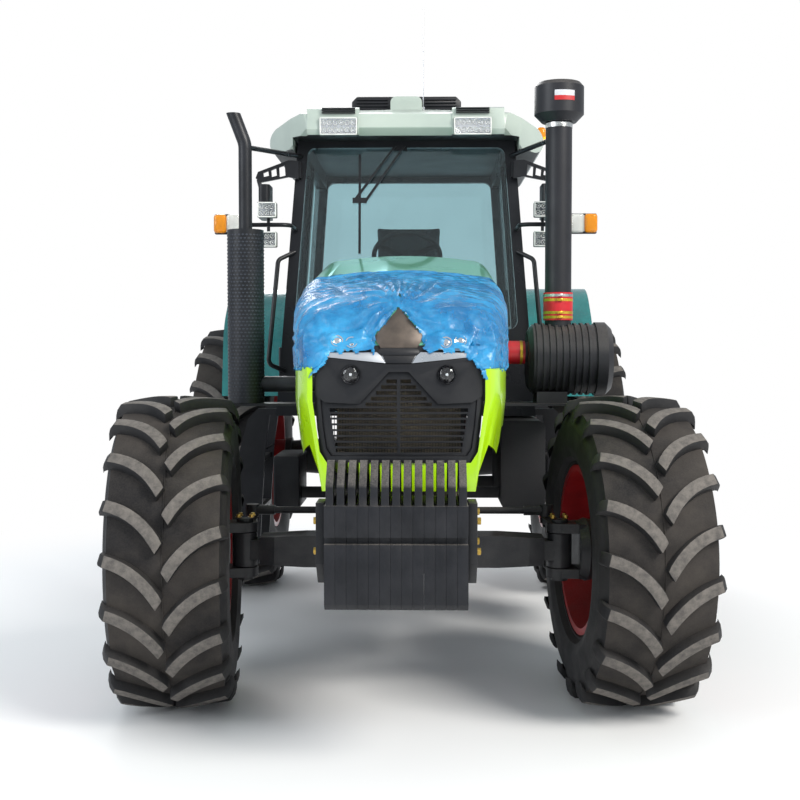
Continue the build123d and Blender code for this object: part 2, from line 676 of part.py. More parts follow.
def door_outline(inset):
    """Door opening in (y, z): it follows the windscreen's rake and the post behind it."""
    front = [(windscreen_y(z) + post + inset, z) for z in (sill_z + inset, header_z - inset)]
    return [front[0], (door_rear_y - inset, sill_z + inset), (door_rear_y - inset, header_z - inset),
            front[1]]


def quarter_outline(inset):
    rear = [(rear_wall_y(z) - post - inset, z) for z in (quarter_low_z + inset, header_z - inset)]
    y = b_post_y + b_post_width + inset
    return [(y, quarter_low_z + inset), rear[0], rear[1], (y, header_z - inset)]


def windscreen_outline(inset, low=windscreen_low_z):
    points = [(side_x(z) - post - inset, z) for z in (low + inset, header_z + 40 - inset)]
    return [(-x, z) for x, z in points] + [(x, z) for x, z in reversed(points)]


def hinge_point(z):
    """A point on the left door's hinge axis, just outside the cab's side."""
    return side_x(z) + hinge_out, door_rear_y - door_gap / 2, z


def hinge_parts(z, on_door):
    """One door hinge: a barrel welded to the door, or the pin and its bracket on the post."""
    low, high = hinge_point(z - hinge_height / 2), hinge_point(z + hinge_height / 2)
    x, y, _ = hinge_point(z)
    if on_door:
        lug = box(x - hinge_out - 12, x, y - 48, y - 4, z - hinge_height / 2 + 1, z + hinge_height / 2 - 1)
        return (bar(low, high, hinge_barrel) + lug) - bar(low, high, hinge_pin + run_gap)
    pin = bar(hinge_point(z - hinge_height), hinge_point(z + hinge_height), hinge_pin)
    for level in (z - hinge_height, z + hinge_height * 0.5 + 1):
        pin += bar(hinge_point(level), hinge_point(level + hinge_height / 2 - 1), hinge_barrel)
        pin += box(x - hinge_out - 12, x, y + 2, y + 50, level, level + hinge_height / 2 - 1)
    return pin


hinge_out = 16
hinge_pin = 6
hinge_barrel = 11
hinge_height = 44
hinge_levels = (1560, 2660)


def cab_frame():
    """Four walls with corner and middle posts; door, window and windscreen openings are cut through."""
    solid = cab_form(0) - cab_form(cab_wall, cab_bottom_z - 1, cab_top_z + 1)
    reach = cab_bottom_half + 50
    solid -= side_prism(door_outline(0), -reach, reach, radius=40)
    solid -= side_prism(quarter_outline(0), -reach, reach, radius=30)
    mid_y = (cab_front_bottom_y + cab_rear_bottom_y) / 2
    solid -= front_prism(windscreen_outline(0), cab_front_bottom_y - 50, mid_y, radius=50)
    rear = windscreen_outline(0, rear_low_z)
    solid -= front_prism(rear, mid_y, cab_rear_bottom_y + 50, radius=50)
    for z in hinge_levels:
        for piece in both_sides(hinge_parts(z, False)):
            solid += piece
    return solid


def cab_floor():
    """Floor panel with its tunnel over the gearbox and four mounting feet."""
    half = side_x(cab_floor_z) - cab_wall - seat_gap
    front, rear = windscreen_y(cab_floor_z) + cab_wall + seat_gap, rear_wall_y(cab_floor_z) - cab_wall - seat_gap
    solid = box(-half, half, front, rear, cab_floor_z - 40, cab_floor_z)
    for x in (-1, 1):
        for y in (front + 480, rear - 200):
            low = gearbox_top_z + seat_gap
            solid += box(x * 150 - 45, x * 150 + 45, y - 45, y + 45, low, cab_floor_z - 30)
    return solid


def glass_pane(prism_cut, depth):
    """A pane of glass: a thin layer of the cab's form inside an outline."""
    layer = cab_form(depth) - cab_form(depth + glass, cab_bottom_z - 1, cab_top_z + 1)
    return layer & prism_cut


def cab_glass():
    reach = cab_bottom_half + 50
    mid_y = (cab_front_bottom_y + cab_rear_bottom_y) / 2
    panes = [glass_pane(front_prism(windscreen_outline(1), cab_front_bottom_y - 50, mid_y, radius=49), 4),
             glass_pane(front_prism(windscreen_outline(1, rear_low_z), mid_y, cab_rear_bottom_y + 50,
                                    radius=49), 12)]
    quarter = glass_pane(side_prism(quarter_outline(1), 200, reach, radius=29), 12)
    return panes + both_sides(quarter)


def door_frame():
    """Door frame with a lower panel, in the plane of the cab's side."""
    reach = cab_bottom_half + 50
    layer = cab_form(0) - cab_form(door_depth, cab_bottom_z - 1, cab_top_z + 1)
    outer = side_prism(door_outline(door_gap), 200, reach, radius=34)
    inner = side_prism(door_outline(door_gap + 52), 190, reach + 10, radius=24)
    solid = (layer & outer) - inner
    grip = box(side_x(1950) - door_depth - 30, side_x(1950) + 2, windscreen_y(1950) + post + 30,
               windscreen_y(1950) + post + 48, 1880, 2010)
    solid += grip & cab_form(-26)
    for z in hinge_levels:
        solid += hinge_parts(z, True)
    return solid


def door_glass():
    reach = cab_bottom_half + 50
    layer = cab_form(10) - cab_form(10 + glass, cab_bottom_z - 1, cab_top_z + 1)
    return layer & side_prism(door_outline(door_gap + 52 + seat_gap), 200, reach, radius=24)


save("cab_frame", cab_frame())
save("cab_floor", cab_floor())
save("cab_glass", *cab_glass())
for name, side in sides.items():
    for kind, piece in (("frame", door_frame()), ("glass", door_glass())):
        save(f"{name}_door_{kind}", piece if side > 0 else mirror(piece, about=Plane.YZ))

roof_low_z = cab_top_z + seat_gap
roof_crown_z = 3072
roof_wing_z = header_z + 15     # underside of the wings that hang outside the cab's sides
roof_wing_x = cab_top_half + 18
roof_front_y = cab_front_bottom_y - 70
roof_rear_y = cab_rear_bottom_y + 110
roof_half = 815
roof_lamp = {"x": 380, "width": 212, "height": 98, "z": 2944}
roof_ear = {"inner": 264, "outer": 560, "top": 3062, "length": 330}


def cab_roof():
    """Roof moulding: crowned top, wings over the cab's sides, two lamp housings and a vent cap."""
    crown, wing_top = roof_crown_z, roof_wing_z + 150
    half = [
        Line((0, roof_low_z), (roof_wing_x, roof_low_z)),
        Line((roof_wing_x, roof_low_z), (roof_wing_x, roof_wing_z)),
        Line((roof_wing_x, roof_wing_z), (roof_half - 60, roof_wing_z)),
        ThreePointArc((roof_half - 60, roof_wing_z), (roof_half, roof_wing_z + 70),
                      (roof_half - 60, wing_top)),
        Line((roof_half - 60, wing_top), (roof_ear["outer"], crown - 36)),
        ThreePointArc((roof_ear["outer"], crown - 36), (roof_ear["outer"] / 2, crown - 9), (0, crown)),
        Line((0, crown), (0, roof_low_z)),
    ]
    plane = Plane((0, 0, 0), x_dir=(1, 0, 0), z_dir=(0, -1, 0)).offset(-roof_rear_y)
    side = extrude(plane * make_face(half), amount=roof_rear_y - roof_front_y)
    solid = side + mirror(side, about=Plane.YZ)
    front, rear = roof_front_y, roof_rear_y
    plan = plan_prism([(-roof_ear["outer"], front + 8), (roof_ear["outer"], front + 8),
                       (roof_half - 150, front + 110), (roof_half + 1, front + 360), (roof_half + 1, rear - 60),
                       (roof_half - 120, rear), (-roof_half + 120, rear), (-roof_half - 1, rear - 60),
                       (-roof_half - 1, front + 360), (-roof_half + 150, front + 110)],
                      roof_wing_z - 10, crown + 10, radius=56)
    side_view = side_prism([(front + 130, roof_wing_z - 10), (front + 50, roof_low_z), (front + 8, 2940),
                            (front + 26, 3020), (front + 190, crown + 5), (rear - 260, crown + 5),
                            (rear - 40, 3010), (rear, 2940), (rear - 50, roof_low_z),
                            (rear - 90, roof_wing_z - 10)], -roof_half - 10, roof_half + 10, radius=10)
    solid = solid & plan & side_view
    ear = side_prism([(front + 14, roof_low_z), (front, 2930), (front + 22, roof_ear["top"] - 14),
                      (front + 60, roof_ear["top"]), (front + roof_ear["length"], roof_ear["top"] - 4),
                      (front + roof_ear["length"], roof_low_z)], roof_ear["inner"], roof_ear["outer"])
    for piece in both_sides(ear):
        solid += piece
    cap = box(-92, 92, front + 250, front + 352, crown - 20, crown + 92)
    solid += fillet(cap.edges().filter_by(Axis.Y).group_by(Axis.Z)[-1], 34)
    half_width, half_height = roof_lamp["width"] / 2 + 1, roof_lamp["height"] / 2 + 1
    for x in (-roof_lamp["x"], roof_lamp["x"]):
        for y0, y1 in ((front - 20, front + 60), (rear - 60, rear + 20)):
            solid -= box(x - half_width, x + half_width, y0, y1, roof_lamp["z"] - half_height,
                         roof_lamp["z"] + half_height)
    return solid


roof = cab_roof()
save("cab_roof", roof)


# ------------------------------------------------------------------ inside the cab
def dashboard():
    """Dashboard console on the floor with the instrument cowl and the steering column."""
    front = windscreen_y(2000) + cab_wall + 60
    solid = side_prism([(front, cab_floor_z + seat_gap), (front + 190, cab_floor_z + seat_gap),
                        (front + 200, 1900), (front + 280, 2120), (front + 60, 2200), (front, 2050)],
                       -190, 190, radius=20)
    return solid + bar(column_low, column_high, 36)


column_lean = math.radians(50)  # steering column above the floor
wheel_centre = Vector(0, cab_front_bottom_y + 570, 2260)
column_axis = Vector(0, math.cos(column_lean), math.sin(column_lean))
column_high = wheel_centre - column_axis * 60
column_low = wheel_centre - column_axis * 330
steering_wheel_radius = 205


def steering_wheel():
    plane = Plane(origin=wheel_centre, x_dir=(1, 0, 0), z_dir=column_axis)
    ring = plane * Torus(steering_wheel_radius, 15)
    hub = extrude(plane.offset(-40) * Circle(44), amount=60)
    stub = extrude(plane.offset(-60 + seat_gap) * Circle(20), amount=30)
    solid = ring + hub + stub
    for number in range(3):
        spoke = extrude(plane.offset(-14) * (Rot(0, 0, 90 + 120 * number)
                        * (Pos(steering_wheel_radius / 2, 0) * Rectangle(steering_wheel_radius - 6, 34))), amount=16)
        solid += spoke
    return solid


seat_y = rear_axle_y - 545
cushion_z = 1840


def seat_base():
    """Suspension pedestal and side console with the armrest."""
    low = cab_floor_z + seat_gap
    solid = box(-170, 170, seat_y - 200, seat_y + 200, low, low + 60)
    solid += loft([Plane.XY.offset(low + 50) * Pos(0, seat_y) * Rectangle(300, 360),
                   Plane.XY.offset(cushion_z - 70) * Pos(0, seat_y) * Rectangle(420, 420)])
    solid += box(-220, 220, seat_y - 220, seat_y + 225, cushion_z - 74, cushion_z - 30)
    solid += box(-150, 150, seat_y + 214, seat_y + 262, cushion_z - 60, cushion_z + 60)
    return solid + place_backrest(Pos(0, 48 + seat_gap + 14, -100) * Box(300, 28, 560))


def place_backrest(solid):
    """The backrest leans back on its frame."""
    return Pos(0, seat_y + 232, cushion_z + 400) * (Rot(-8, 0, 0) * solid)


def seat_cushions():
    cushion = fillet(Box(500, 440, 116).edges(), 26)
    back = fillet(Box(480, 96, 600).edges(), 26)
    return Pos(0, seat_y - 10, cushion_z - 30 + seat_gap + 58) * cushion, place_backrest(back)


save("dashboard", dashboard())
save("steering_wheel", steering_wheel())
save("seat_base", seat_base())
cushion, back = seat_cushions()
save("seat_cushion", cushion)
save("seat_backrest", back)


# ------------------------------------------------------------------ fenders, tanks, steps
fender_thickness = 8
fender_line = [(-935, 468), (-855, 912), (-555, 1172), (145, 1192), (675, 882), (835, 582)]
fender_radii = [330, 420, 560, 420]


def fender_strip(thickness, width):
    """A strip of constant thickness along the fender's line round the rear wheel, from x = 0 outwards."""
    wire = FilletPolyline(*[(rear_axle_y + y, rear_axle_z + z) for y, z in fender_line], radius=fender_radii)
    return extrude(Plane.YZ * make_face(wire.offset_2d(-thickness, side=Side.RIGHT, closed=True)), amount=width)


def fender():
    """Rear fender: a bent sheet over the wheel with an outer lip, against the cab's side."""
    inner_x, lip = 600, 46
    solid = Pos(inner_x, 0, 0) * fender_strip(fender_thickness, fender_edge_x - inner_x)
    solid += Pos(fender_edge_x - 8, 0, 0) * fender_strip(lip, 8)
    wall = front_prism([(side_x(2300) + seat_gap, 2300), (side_x(1200) + seat_gap, 1200), (2000, 1200),
                        (2000, 2300)], rear_axle_y - 1400, rear_axle_y + 1400)
    return solid & wall


save("rear_fenders", *both_sides(fender()))


# ------------------------------------------------------------------ bonnet
# stations of the bonnet's form: y, crown height, shoulder height, half width at the belt,
# half width at the lower edge
bonnet_stations = [
    (bonnet_front_y, 1725, 1640, 380, 318),
    (bonnet_front_y + 40, 1815, 1700, 404, 345),
    (bonnet_front_y + 110, 1872, 1745, 428, 375),
    (bonnet_front_y + 240, 1928, 1800, 454, 410),
    (bonnet_front_y + 440, 1976, 1852, 474, 436),
    (bonnet_rear_y - 970, 2060, 1940, 482, 455),
    (bonnet_rear_y, 2214, 2072, 486, 462),
]
belt_z = 1470
bonnet_low_z = 1092
skin_split_z = 1610             # lower edge of the upper skin over the coloured side panels
nose_split_z = 1699             # and across the nose, behind the headlamps
nose_front_y = bonnet_front_y + 104     # front edge of the upper skin
film_rear_y = bonnet_front_y + 860      # the film ends here, across the bonnet


def bonnet_form(grow):
    """The bonnet's outside, or a copy grown by that much all round; a smaller copy is open below."""
    sections = []
    for number, (y, crown, shoulder, half, low_half) in enumerate(bonnet_stations):
        if number == 0:
            y -= grow
        elif number == len(bonnet_stations) - 1 and grow < 0:
            y += 1
        half, low_half, crown, shoulder = half + grow, low_half + grow, crown + grow, shoulder + grow * 0.8
        edge, rim_z = half * 0.74, crown - 26
        mid = (edge + (half - edge) * 0.7071, shoulder + (rim_z - shoulder) * 0.7071)
        low = bonnet_low_z - 60 if grow < 0 else bonnet_low_z
        outline = make_face([
            Line((low_half, low), (half, belt_z)),
            Line((half, belt_z), (half, shoulder)),
            ThreePointArc((half, shoulder), mid, (edge, rim_z)),
            ThreePointArc((edge, rim_z), (0, crown), (-edge, rim_z)),
            ThreePointArc((-edge, rim_z), (-mid[0], mid[1]), (-half, shoulder)),
            Line((-half, shoulder), (-half, belt_z)),
            Line((-half, belt_z), (-low_half, low)),
            Line((-low_half, low), (low_half, low)),
        ])
        sections.append(Plane((0, y, 0), x_dir=(1, 0, 0), z_dir=(0, -1, 0)) * outline)
    return loft(sections, ruled=True)


bonnet_shell = bonnet_form(0) - bonnet_form(-sheet)
# the side panels rise over the steered wheels, and the upper skin is cut away beside the air hoses
side_panel_outline = [(bonnet_front_y - 60, 1092), (bonnet_front_y + 70, 1092), (front_axle_y - 420, 1340),
                      (front_axle_y + 475, 1350), (front_axle_y + 525, skin_split_z - seat_gap),
                      (bonnet_front_y - 60, skin_split_z - seat_gap)]
upper_outline = [(bonnet_front_y - 60, nose_split_z + seat_gap), (nose_front_y - 12, nose_split_z + seat_gap),
                 (nose_front_y + 48, skin_split_z), (front_axle_y + 525, skin_split_z),
                 (front_axle_y + 625, 1752), (bonnet_rear_y + 5, 1752), (bonnet_rear_y + 5, 2400),
                 (bonnet_front_y - 60, 2400)]
rake_foot_z = 1622              # the nose leans back from here
rake = 0.41                     # its run backwards per unit of height


def rake_face_y(z, depth=0):
    return bonnet_front_y + (z - rake_foot_z) * rake + depth


def raked(points, front, back):
    """Outline in (x, z) cut from a layer that leans back with the nose; depths are along Y."""
    low, high = 1560, 1900
    layer = side_prism([(rake_face_y(low, front), low), (rake_face_y(high, front), high),
                        (rake_face_y(high, back), high), (rake_face_y(low, back), low)], -460, 460)
    return layer & front_prism(points, bonnet_front_y - 200, bonnet_front_y + 400)


def nose_wall(z0, z1):
    """Part of the bonnet's sheet between two heights, with the raked face across its nose."""
    before = side_prism([(rake_face_y(1560), 1560), (rake_face_y(1960), 1960), (bonnet_front_y - 300, 1960),
                         (bonnet_front_y - 300, 1560)], -600, 600)
    face = raked([(-460, z0), (460, z0), (460, z1), (-460, z1)], 0, sheet + 1)
    return (bonnet_shell - before) + (face & bonnet_form(0))


def bonnet_skin():
    """Upper bonnet with its raked nose and two hinge brackets at its rear edge."""
    solid = nose_wall(nose_split_z + seat_gap, 1900) & side_prism(upper_outline, -600, 600)
    y, z = bonnet_hinge_y, bonnet_hinge_z
    bracket = side_prism([(y - 60, 2300), (y - 60, z + 10), (y - 14, z - 22), (y + 18, z - 22), (y + 18, 2300)],
                         bonnet_hinge_x, bonnet_hinge_x + 14) & bonnet_form(-1)
    bracket -= bar((0, y, z), (600, y, z), bonnet_pin + run_gap)
    for piece in both_sides(bracket):
        solid += piece
    return solid


def bonnet_hinge_frame():
    """Two uprights on the engine with the hinge pins of the bonnet, and a cross tube between them."""
    y, z = bonnet_hinge_y, bonnet_hinge_z
    x = bonnet_hinge_x + 14 + 4
    upright = side_prism([(y - 120, engine_top_z + seat_gap), (y - 48, engine_top_z + seat_gap),
                          (y + 16, z - 10), (y + 16, z + 12), (y - 14, z + 12), (y - 30, z - 40)], x, x + 14)
    upright += bar((bonnet_hinge_x - 4, y, z), (x + 10, y, z), bonnet_pin)
    solid = bar((-x, y - 60, z - 230), (x, y - 60, z - 230), 16)
    for piece in both_sides(upright):
        solid += piece
    return solid


grille_y = bonnet_front_y - 20  # foremost line of the bowed grille
grille_bow = 45                 # the grille's ends, 400 from the middle, lie this far behind it
trim_height = 10                # lamps, shield and strips stand this far out of the raked face


def bowed(points, depth, thickness):
    """Outline in (x, z) cut from a sheet that bulges forwards in the middle."""
    y = grille_y + depth
    arcs = [(y, y + grille_bow), (y + thickness, y + thickness + grille_bow)]
    (front, front_end), (back, back_end) = arcs
    sheet_face = make_face([
        ThreePointArc((-400, front_end), (0, front), (400, front_end)),
        Line((400, front_end), (400, back_end)),
        ThreePointArc((400, back_end), (0, back), (-400, back_end)),
        Line((-400, back_end), (-400, front_end)),
    ])
    layer = extrude(Plane.XY.offset(1000) * sheet_face, amount=900)
    return layer & front_prism(points, grille_y - 50, grille_y + 300)


arm_outline = symmetric([(54, 1621), (306, 1648), (345, 1600), (352, 1491), (306, 1462), (163, 1456),
                         (41, 1589)])
surround_outline = symmetric([(352, 1491), (341, 1353), (326, 1257), (298, 1214)])
grille_opening = symmetric([(328, 1491), (317, 1360), (304, 1270), (284, 1238)])
fog_lamp = {"x": 200, "z": 1578, "radius": 38}


def nose_panels():
    """Coloured side panels and the strip under the grille, one moulding round the nose."""
    solid = bonnet_shell & side_prism(side_panel_outline, -600, 600)
    window = symmetric([(359, 1620), (359, 1470), (345, 1353), (329, 1257), (300, 1211)])
    return solid - front_prism(window, bonnet_front_y - 40, bonnet_front_y + 30)


def nose_frame():
    """Dark front moulding: two arms that meet over the grille, its surround and the lower nose above it."""
    lower_nose = [(bonnet_front_y - 60, skin_split_z), (nose_front_y + 46, skin_split_z),
                  (nose_front_y - 14, nose_split_z), (bonnet_front_y - 60, nose_split_z)]
    solid = nose_wall(rake_foot_z, nose_split_z) & side_prism(lower_nose, -600, 600)
    solid -= front_prism(arm_outline, bonnet_front_y - 60, bonnet_front_y + 60)
    solid += bowed(arm_outline, 0, 44)
    solid += bowed(surround_outline, 6, 34) - bowed(grille_opening, -10, 80)
    for x in (-fog_lamp["x"], fog_lamp["x"]):
        solid -= bar((x, grille_y - 60, fog_lamp["z"]), (x, grille_y + 90, fog_lamp["z"]),
                     fog_lamp["radius"] + seat_gap)
    return solid


def grille():
    """Bowed panel behind the arms, with slots in rows on either side of a middle rib."""
    solid = bowed(symmetric([(40, 1590), (162, 1470), (327, 1488), (316, 1360), (303, 1271), (283, 1239)]),
                  14, 14) - nose_frame()
    for row in range(13):
        z = 1262 + 24 * row
        half = 262 + (z - 1262) * 0.16 if z < 1440 else 150 - (z - 1440) * 0.9
        for low, high in ((-half, -7), (7, half)):
            if half > 40:
                solid -= box(low, high, grille_y - 20, grille_y + 120, z - 8, z + 8)
    return solid


def nose_lamps():
    """Two round lamps in the arms and two almond headlamps above them."""
    pieces = []
    for x in (-fog_lamp["x"], fog_lamp["x"]):
        pieces.append(bar((x, grille_y + 4, fog_lamp["z"]), (x, grille_y + 76, fog_lamp["z"]),
                          fog_lamp["radius"]))
    lamp = raked([(106, 1684), (250, 1676), (286, 1686), (322, 1742), (250, 1756), (152, 1744), (112, 1722)],
                 -trim_height - 4, -seat_gap)
    return pieces + both_sides(lamp)


def nose_trim():
    """Shield between the headlamps, the bar and plate under it, and a bright strip to either side."""
    shield = raked(symmetric([(1, 1859), (105, 1733), (76, 1689)]), -trim_height, -seat_gap)
    black_bar = raked(symmetric([(75, 1688), (88, 1672), (72, 1658)]), -trim_height - 2, -seat_gap)
    plate = raked(symmetric([(71, 1657), (53, 1624)]), -trim_height, -seat_gap)
    strip = raked([(90, 1671), (74, 1657), (56, 1625), (305, 1651), (330, 1668), (200, 1672)],
                  -trim_height, -seat_gap)
    return [shield, black_bar, plate] + both_sides(strip)


def bonnet_film():
    """Protective film over the nose and the front half of the upper bonnet."""
    layer = bonnet_form(sheet) - bonnet_form(1)
    cover = side_prism([(rake_face_y(1716, -1), 1716), (rake_face_y(1960, -1), 1960), (bonnet_front_y + 300, 2400),
                        (film_rear_y, 2400), (film_rear_y, 1612), (bonnet_front_y + 110, 1612)], -600, 600)
    face = raked(symmetric([(2, 1900), (2, 1866), (112, 1740), (118, 1760), (330, 1762), (420, 1716),
                            (420, 1900)])[:7], -sheet, -1)
    solid = layer & cover
    for piece in both_sides(face & bonnet_form(sheet)):
        solid += piece
    return solid


save("bonnet_skin", bonnet_skin())
save("nose_panels", nose_panels())
save("nose_frame", nose_frame())
save("grille", grille())
save("nose_lamps", *nose_lamps())
save("nose_trim", *nose_trim())
save("bonnet_film", bonnet_film())


# ------------------------------------------------------------------ exhaust and air intake
pipe_radius = 35
muffler_radius = 84
shield_radius = 95
shield_low_z, shield_high_z = 1402, 2310
stack_top_z = 2940


def exhaust_stack():
    """Muffler on a foot, its inlet from the engine, and a pipe bent outwards with a slash cut."""
    inlet_z = 1500
    solid = bar((stack_x, stack_y, shelf_z + seat_gap), (stack_x, stack_y, shield_high_z - 30), muffler_radius)
    solid += bar((-engine_half - seat_gap, stack_y, inlet_z), (stack_x + 20, stack_y, inlet_z), 42)
    outlet = bent_tube([(stack_x, stack_y, shield_high_z - 60), (stack_x, stack_y, 2760),
                        (stack_x - 80, stack_y, stack_top_z + 30)], pipe_radius, 140)
    slash = box(stack_x - 300, stack_x + 300, stack_y - 100, stack_y + 100, 0, 300)
    outlet -= Pos(0, 0, stack_top_z - 20) * slash
    bore = bar((stack_x - 80, stack_y, stack_top_z + 30), (stack_x - 20, stack_y, 2810), pipe_radius - 3)
    return solid + outlet - bore


def exhaust_shield():
    """Round perforated guard with its end ring and four stand-offs on the muffler."""
    solid = bar((stack_x, stack_y, shield_low_z), (stack_x, stack_y, shield_high_z), shield_radius,
                shield_radius - 3)
    solid += bar((stack_x, stack_y, shield_high_z - 4), (stack_x, stack_y, shield_high_z), shield_radius,
                 pipe_radius + 4)
    for angle in range(0, 360, 90):
        for z in (1600, 2200):
            turn = math.radians(angle + 45)
            start, end = muffler_radius + seat_gap, shield_radius - 1
            solid += bar((stack_x + start * math.cos(turn), stack_y + start * math.sin(turn), z),
                         (stack_x + end * math.cos(turn), stack_y + end * math.sin(turn), z), 8)
    return solid - bar((stack_x, stack_y, 1500), (stack_x + 200, stack_y, 1500), 50)


cleaner_radius = 192
cleaner_z = 1632
cleaner_inner_x, cleaner_outer_x = 655, 1095
intake_pipe_radius = 74
hose_low_z, hose_high_z = 1838, 1985


def air_cleaner():
    """Horizontal ribbed canister with an end cap, inlet neck on top and outlet neck to the engine."""
    points = [(cleaner_inner_x, 0), (cleaner_inner_x, 150), (cleaner_inner_x + 24, cleaner_radius - 8)]
    x = cleaner_inner_x + 40
    while x < cleaner_outer_x - 110:
        points += [(x, cleaner_radius - 8), (x, cleaner_radius), (x + 14, cleaner_radius),
                   (x + 14, cleaner_radius - 8)]
        x += 34
    points += [(cleaner_outer_x - 84, cleaner_radius - 8), (cleaner_outer_x - 84, cleaner_radius + 4),
               (cleaner_outer_x - 30, cleaner_radius + 4), (cleaner_outer_x, cleaner_radius - 26),
               (cleaner_outer_x, 0)]
    solid = Pos(0, intake_y, cleaner_z) * revolve(make_face(Polyline(*points, close=True)), Axis.X)
    solid += bar((intake_x, intake_y, cleaner_z + 100), (intake_x, intake_y, hose_low_z - seat_gap),
                 intake_pipe_radius - 4)
    return solid + bar((cleaner_inner_x - 12, intake_y, cleaner_z + 35), (cleaner_inner_x + 20, intake_y,
                                                                       cleaner_z + 35), 56)


def intake_stack():
    """Straight intake pipe with its pre-cleaner bowl."""
    solid = bar((intake_x, intake_y, hose_high_z + seat_gap), (intake_x, intake_y, 2886), intake_pipe_radius - 4)
    bowl = make_face(Polyline((0, 2884), (92, 2884), (131, 2924), (131, 3068), (112, 3090), (0, 3090), close=True))
    return solid + Pos(intake_x, intake_y, 0) * revolve(Plane.XZ * bowl, Axis.Z)


def intake_hoses():
    """Upper rubber sleeve over the pipe ends and the elbow hose to the engine."""
    sleeve = bar((intake_x, intake_y, hose_low_z), (intake_x, intake_y, hose_high_z), intake_pipe_radius + 4)
    z = cleaner_z + 35
    elbow = bar((cleaner_inner_x - 12 - seat_gap, intake_y, z), (engine_half + seat_gap, intake_y, z), 62)
    return sleeve, elbow


def side_shelves():
    """Shelf brackets on the engine that carry the air cleaner and the exhaust muffler."""
    left = box(engine_half + seat_gap, 910, stack_y - 60, intake_y + 150, shelf_z - 12, shelf_z)
    for y in (intake_y - 100, intake_y + 100):
        left += side_prism([(y - 8, shelf_z - 2), (y + 8, shelf_z - 2), (y + 8, cleaner_z - cleaner_radius + 20),
                            (y - 8, cleaner_z - cleaner_radius + 20)], 700, 860)
    left -= bar((600, intake_y, cleaner_z), (1100, intake_y, cleaner_z), cleaner_radius + seat_gap)
    right = box(stack_x - 90, -engine_half - seat_gap, stack_y - 90, stack_y + 110, shelf_z - 12, shelf_z)
    for x0, x1, y in ((engine_half + seat_gap, 560, intake_y + 120), (-560, -engine_half - seat_gap,
                                                                     stack_y + 80)):
        web = front_prism([(x0, shelf_z - 6), (x1, shelf_z - 6), (x1, shelf_z - 40), (x0, shelf_z - 40)], y, y + 12)
        if x0 > 0:
            left += web
        else:
            right += web
    return left, right


save("exhaust_stack", exhaust_stack(), exhaust_shield())
save("air_cleaner", air_cleaner())
save("intake_stack", intake_stack())
save("intake_hoses", *intake_hoses())
save("engine_brackets", *side_shelves(), bonnet_hinge_frame())


# ------------------------------------------------------------------ tank, toolbox and steps
tank_front_y = cab_front_bottom_y - 250
step_y = cab_front_bottom_y + 270
step_half = 210


def fuel_tank():
    """Fuel tank on two brackets from the gearbox, on the left."""
    rear_y = door_rear_y - 70
    tank = fillet(box(533, 780, tank_front_y, rear_y, 795, cab_bottom_z - 12).edges().filter_by(Axis.Y), 40)
    for y in (tank_front_y + 140, rear_y - 130):
        half = engine_half if y < engine_rear_y - 60 else gearbox_half - 20
        tank += box(half + seat_gap, 540, y, y + 60, 840, 900)
    return tank


def toolbox():
    """Battery box with its bracket, on the right."""
    solid = fillet(box(-735, -590, tank_front_y, tank_front_y + 420, 790, 1090).edges().filter_by(Axis.Y), 14)
    return solid + box(-600, -engine_half - seat_gap, tank_front_y + 120, tank_front_y + 180, 840, 900)


def cab_steps(side):
    """Ladder of three treads between two stringers, hung from the cab's sill."""
    inner, outer = 800, 1130
    low, high = 430, cab_bottom_z + 40
    solid = Part()
    for y in (step_y - step_half, step_y + step_half):
        solid += front_prism([(inner + 60, low), (outer, low), (outer, low + 60), (inner + 120, high - 60),
                              (inner + 60, high), (cab_bottom_half - 20, high),
                              (cab_bottom_half - 20, cab_bottom_z + 2), (inner - 8, cab_bottom_z + 2),
                              (inner + 20, high - 240)], y - 8, y + 8)
    for z, reach in ((low + 10, outer), (low + 300, outer - 70), (low + 590, outer - 140)):
        solid += box(inner + 40, reach, step_y - step_half + 6, step_y + step_half - 6, z, z + 30)
    solid -= cab_form(-seat_gap)
    return solid if side > 0 else mirror(solid, about=Plane.YZ)


save("fuel_tank", fuel_tank())
save("toolbox", toolbox())
save("cab_steps", cab_steps(1), cab_steps(-1))


# ------------------------------------------------------------------ on the cab
lamp_y = cab_front_bottom_y - 230
indicator_x, indicator_z = 985, 2378
work_lamp_x = 763


def lamp_brackets(side):
    """Tube from the front post to the indicator, with the work lamps' uprights, and the stack strut."""
    y, z = lamp_y + 36, indicator_z
    post_x = side_x(z) - post / 2
    solid = bent_tube([(post_x, windscreen_y(z) + 30, z), (post_x, y, z), (indicator_x - 60, y, z)], 12, 60)
    solid += bar((work_lamp_x, y, z - 120), (work_lamp_x, y, z + 110), 9)
    strut_z = header_z - 8
    intake = (intake_x, intake_y, intake_pipe_radius - 4, strut_z)
    stack = (-stack_x, stack_y, pipe_radius, strut_z - 66)
    pipe_x, pipe_y, radius, pipe_z = intake if side > 0 else stack
    strut = bar((side_x(strut_z) - 30, windscreen_y(strut_z) + 20, strut_z), (pipe_x, pipe_y, pipe_z), 14)
    strut -= bar((pipe_x, pipe_y, strut_z - 300), (pipe_x, pipe_y, strut_z + 300), radius + seat_gap)
    rail = bent_tube([(side_x(2300) - 30, windscreen_y(2300) - 10, 2250),
                      (side_x(2300) + 60, windscreen_y(2300) - 70, 2200),
                      (side_x(1600) + 60, windscreen_y(1600) - 70, 1600),
                      (side_x(1560) - 30, windscreen_y(1560) - 10, 1560)], 13, 40)
    pieces = [solid, strut, rail]
    trimmed = [piece - cab_form(-seat_gap) for piece in pieces]
    return trimmed if side > 0 else [mirror(piece, about=Plane.YZ) for piece in trimmed]


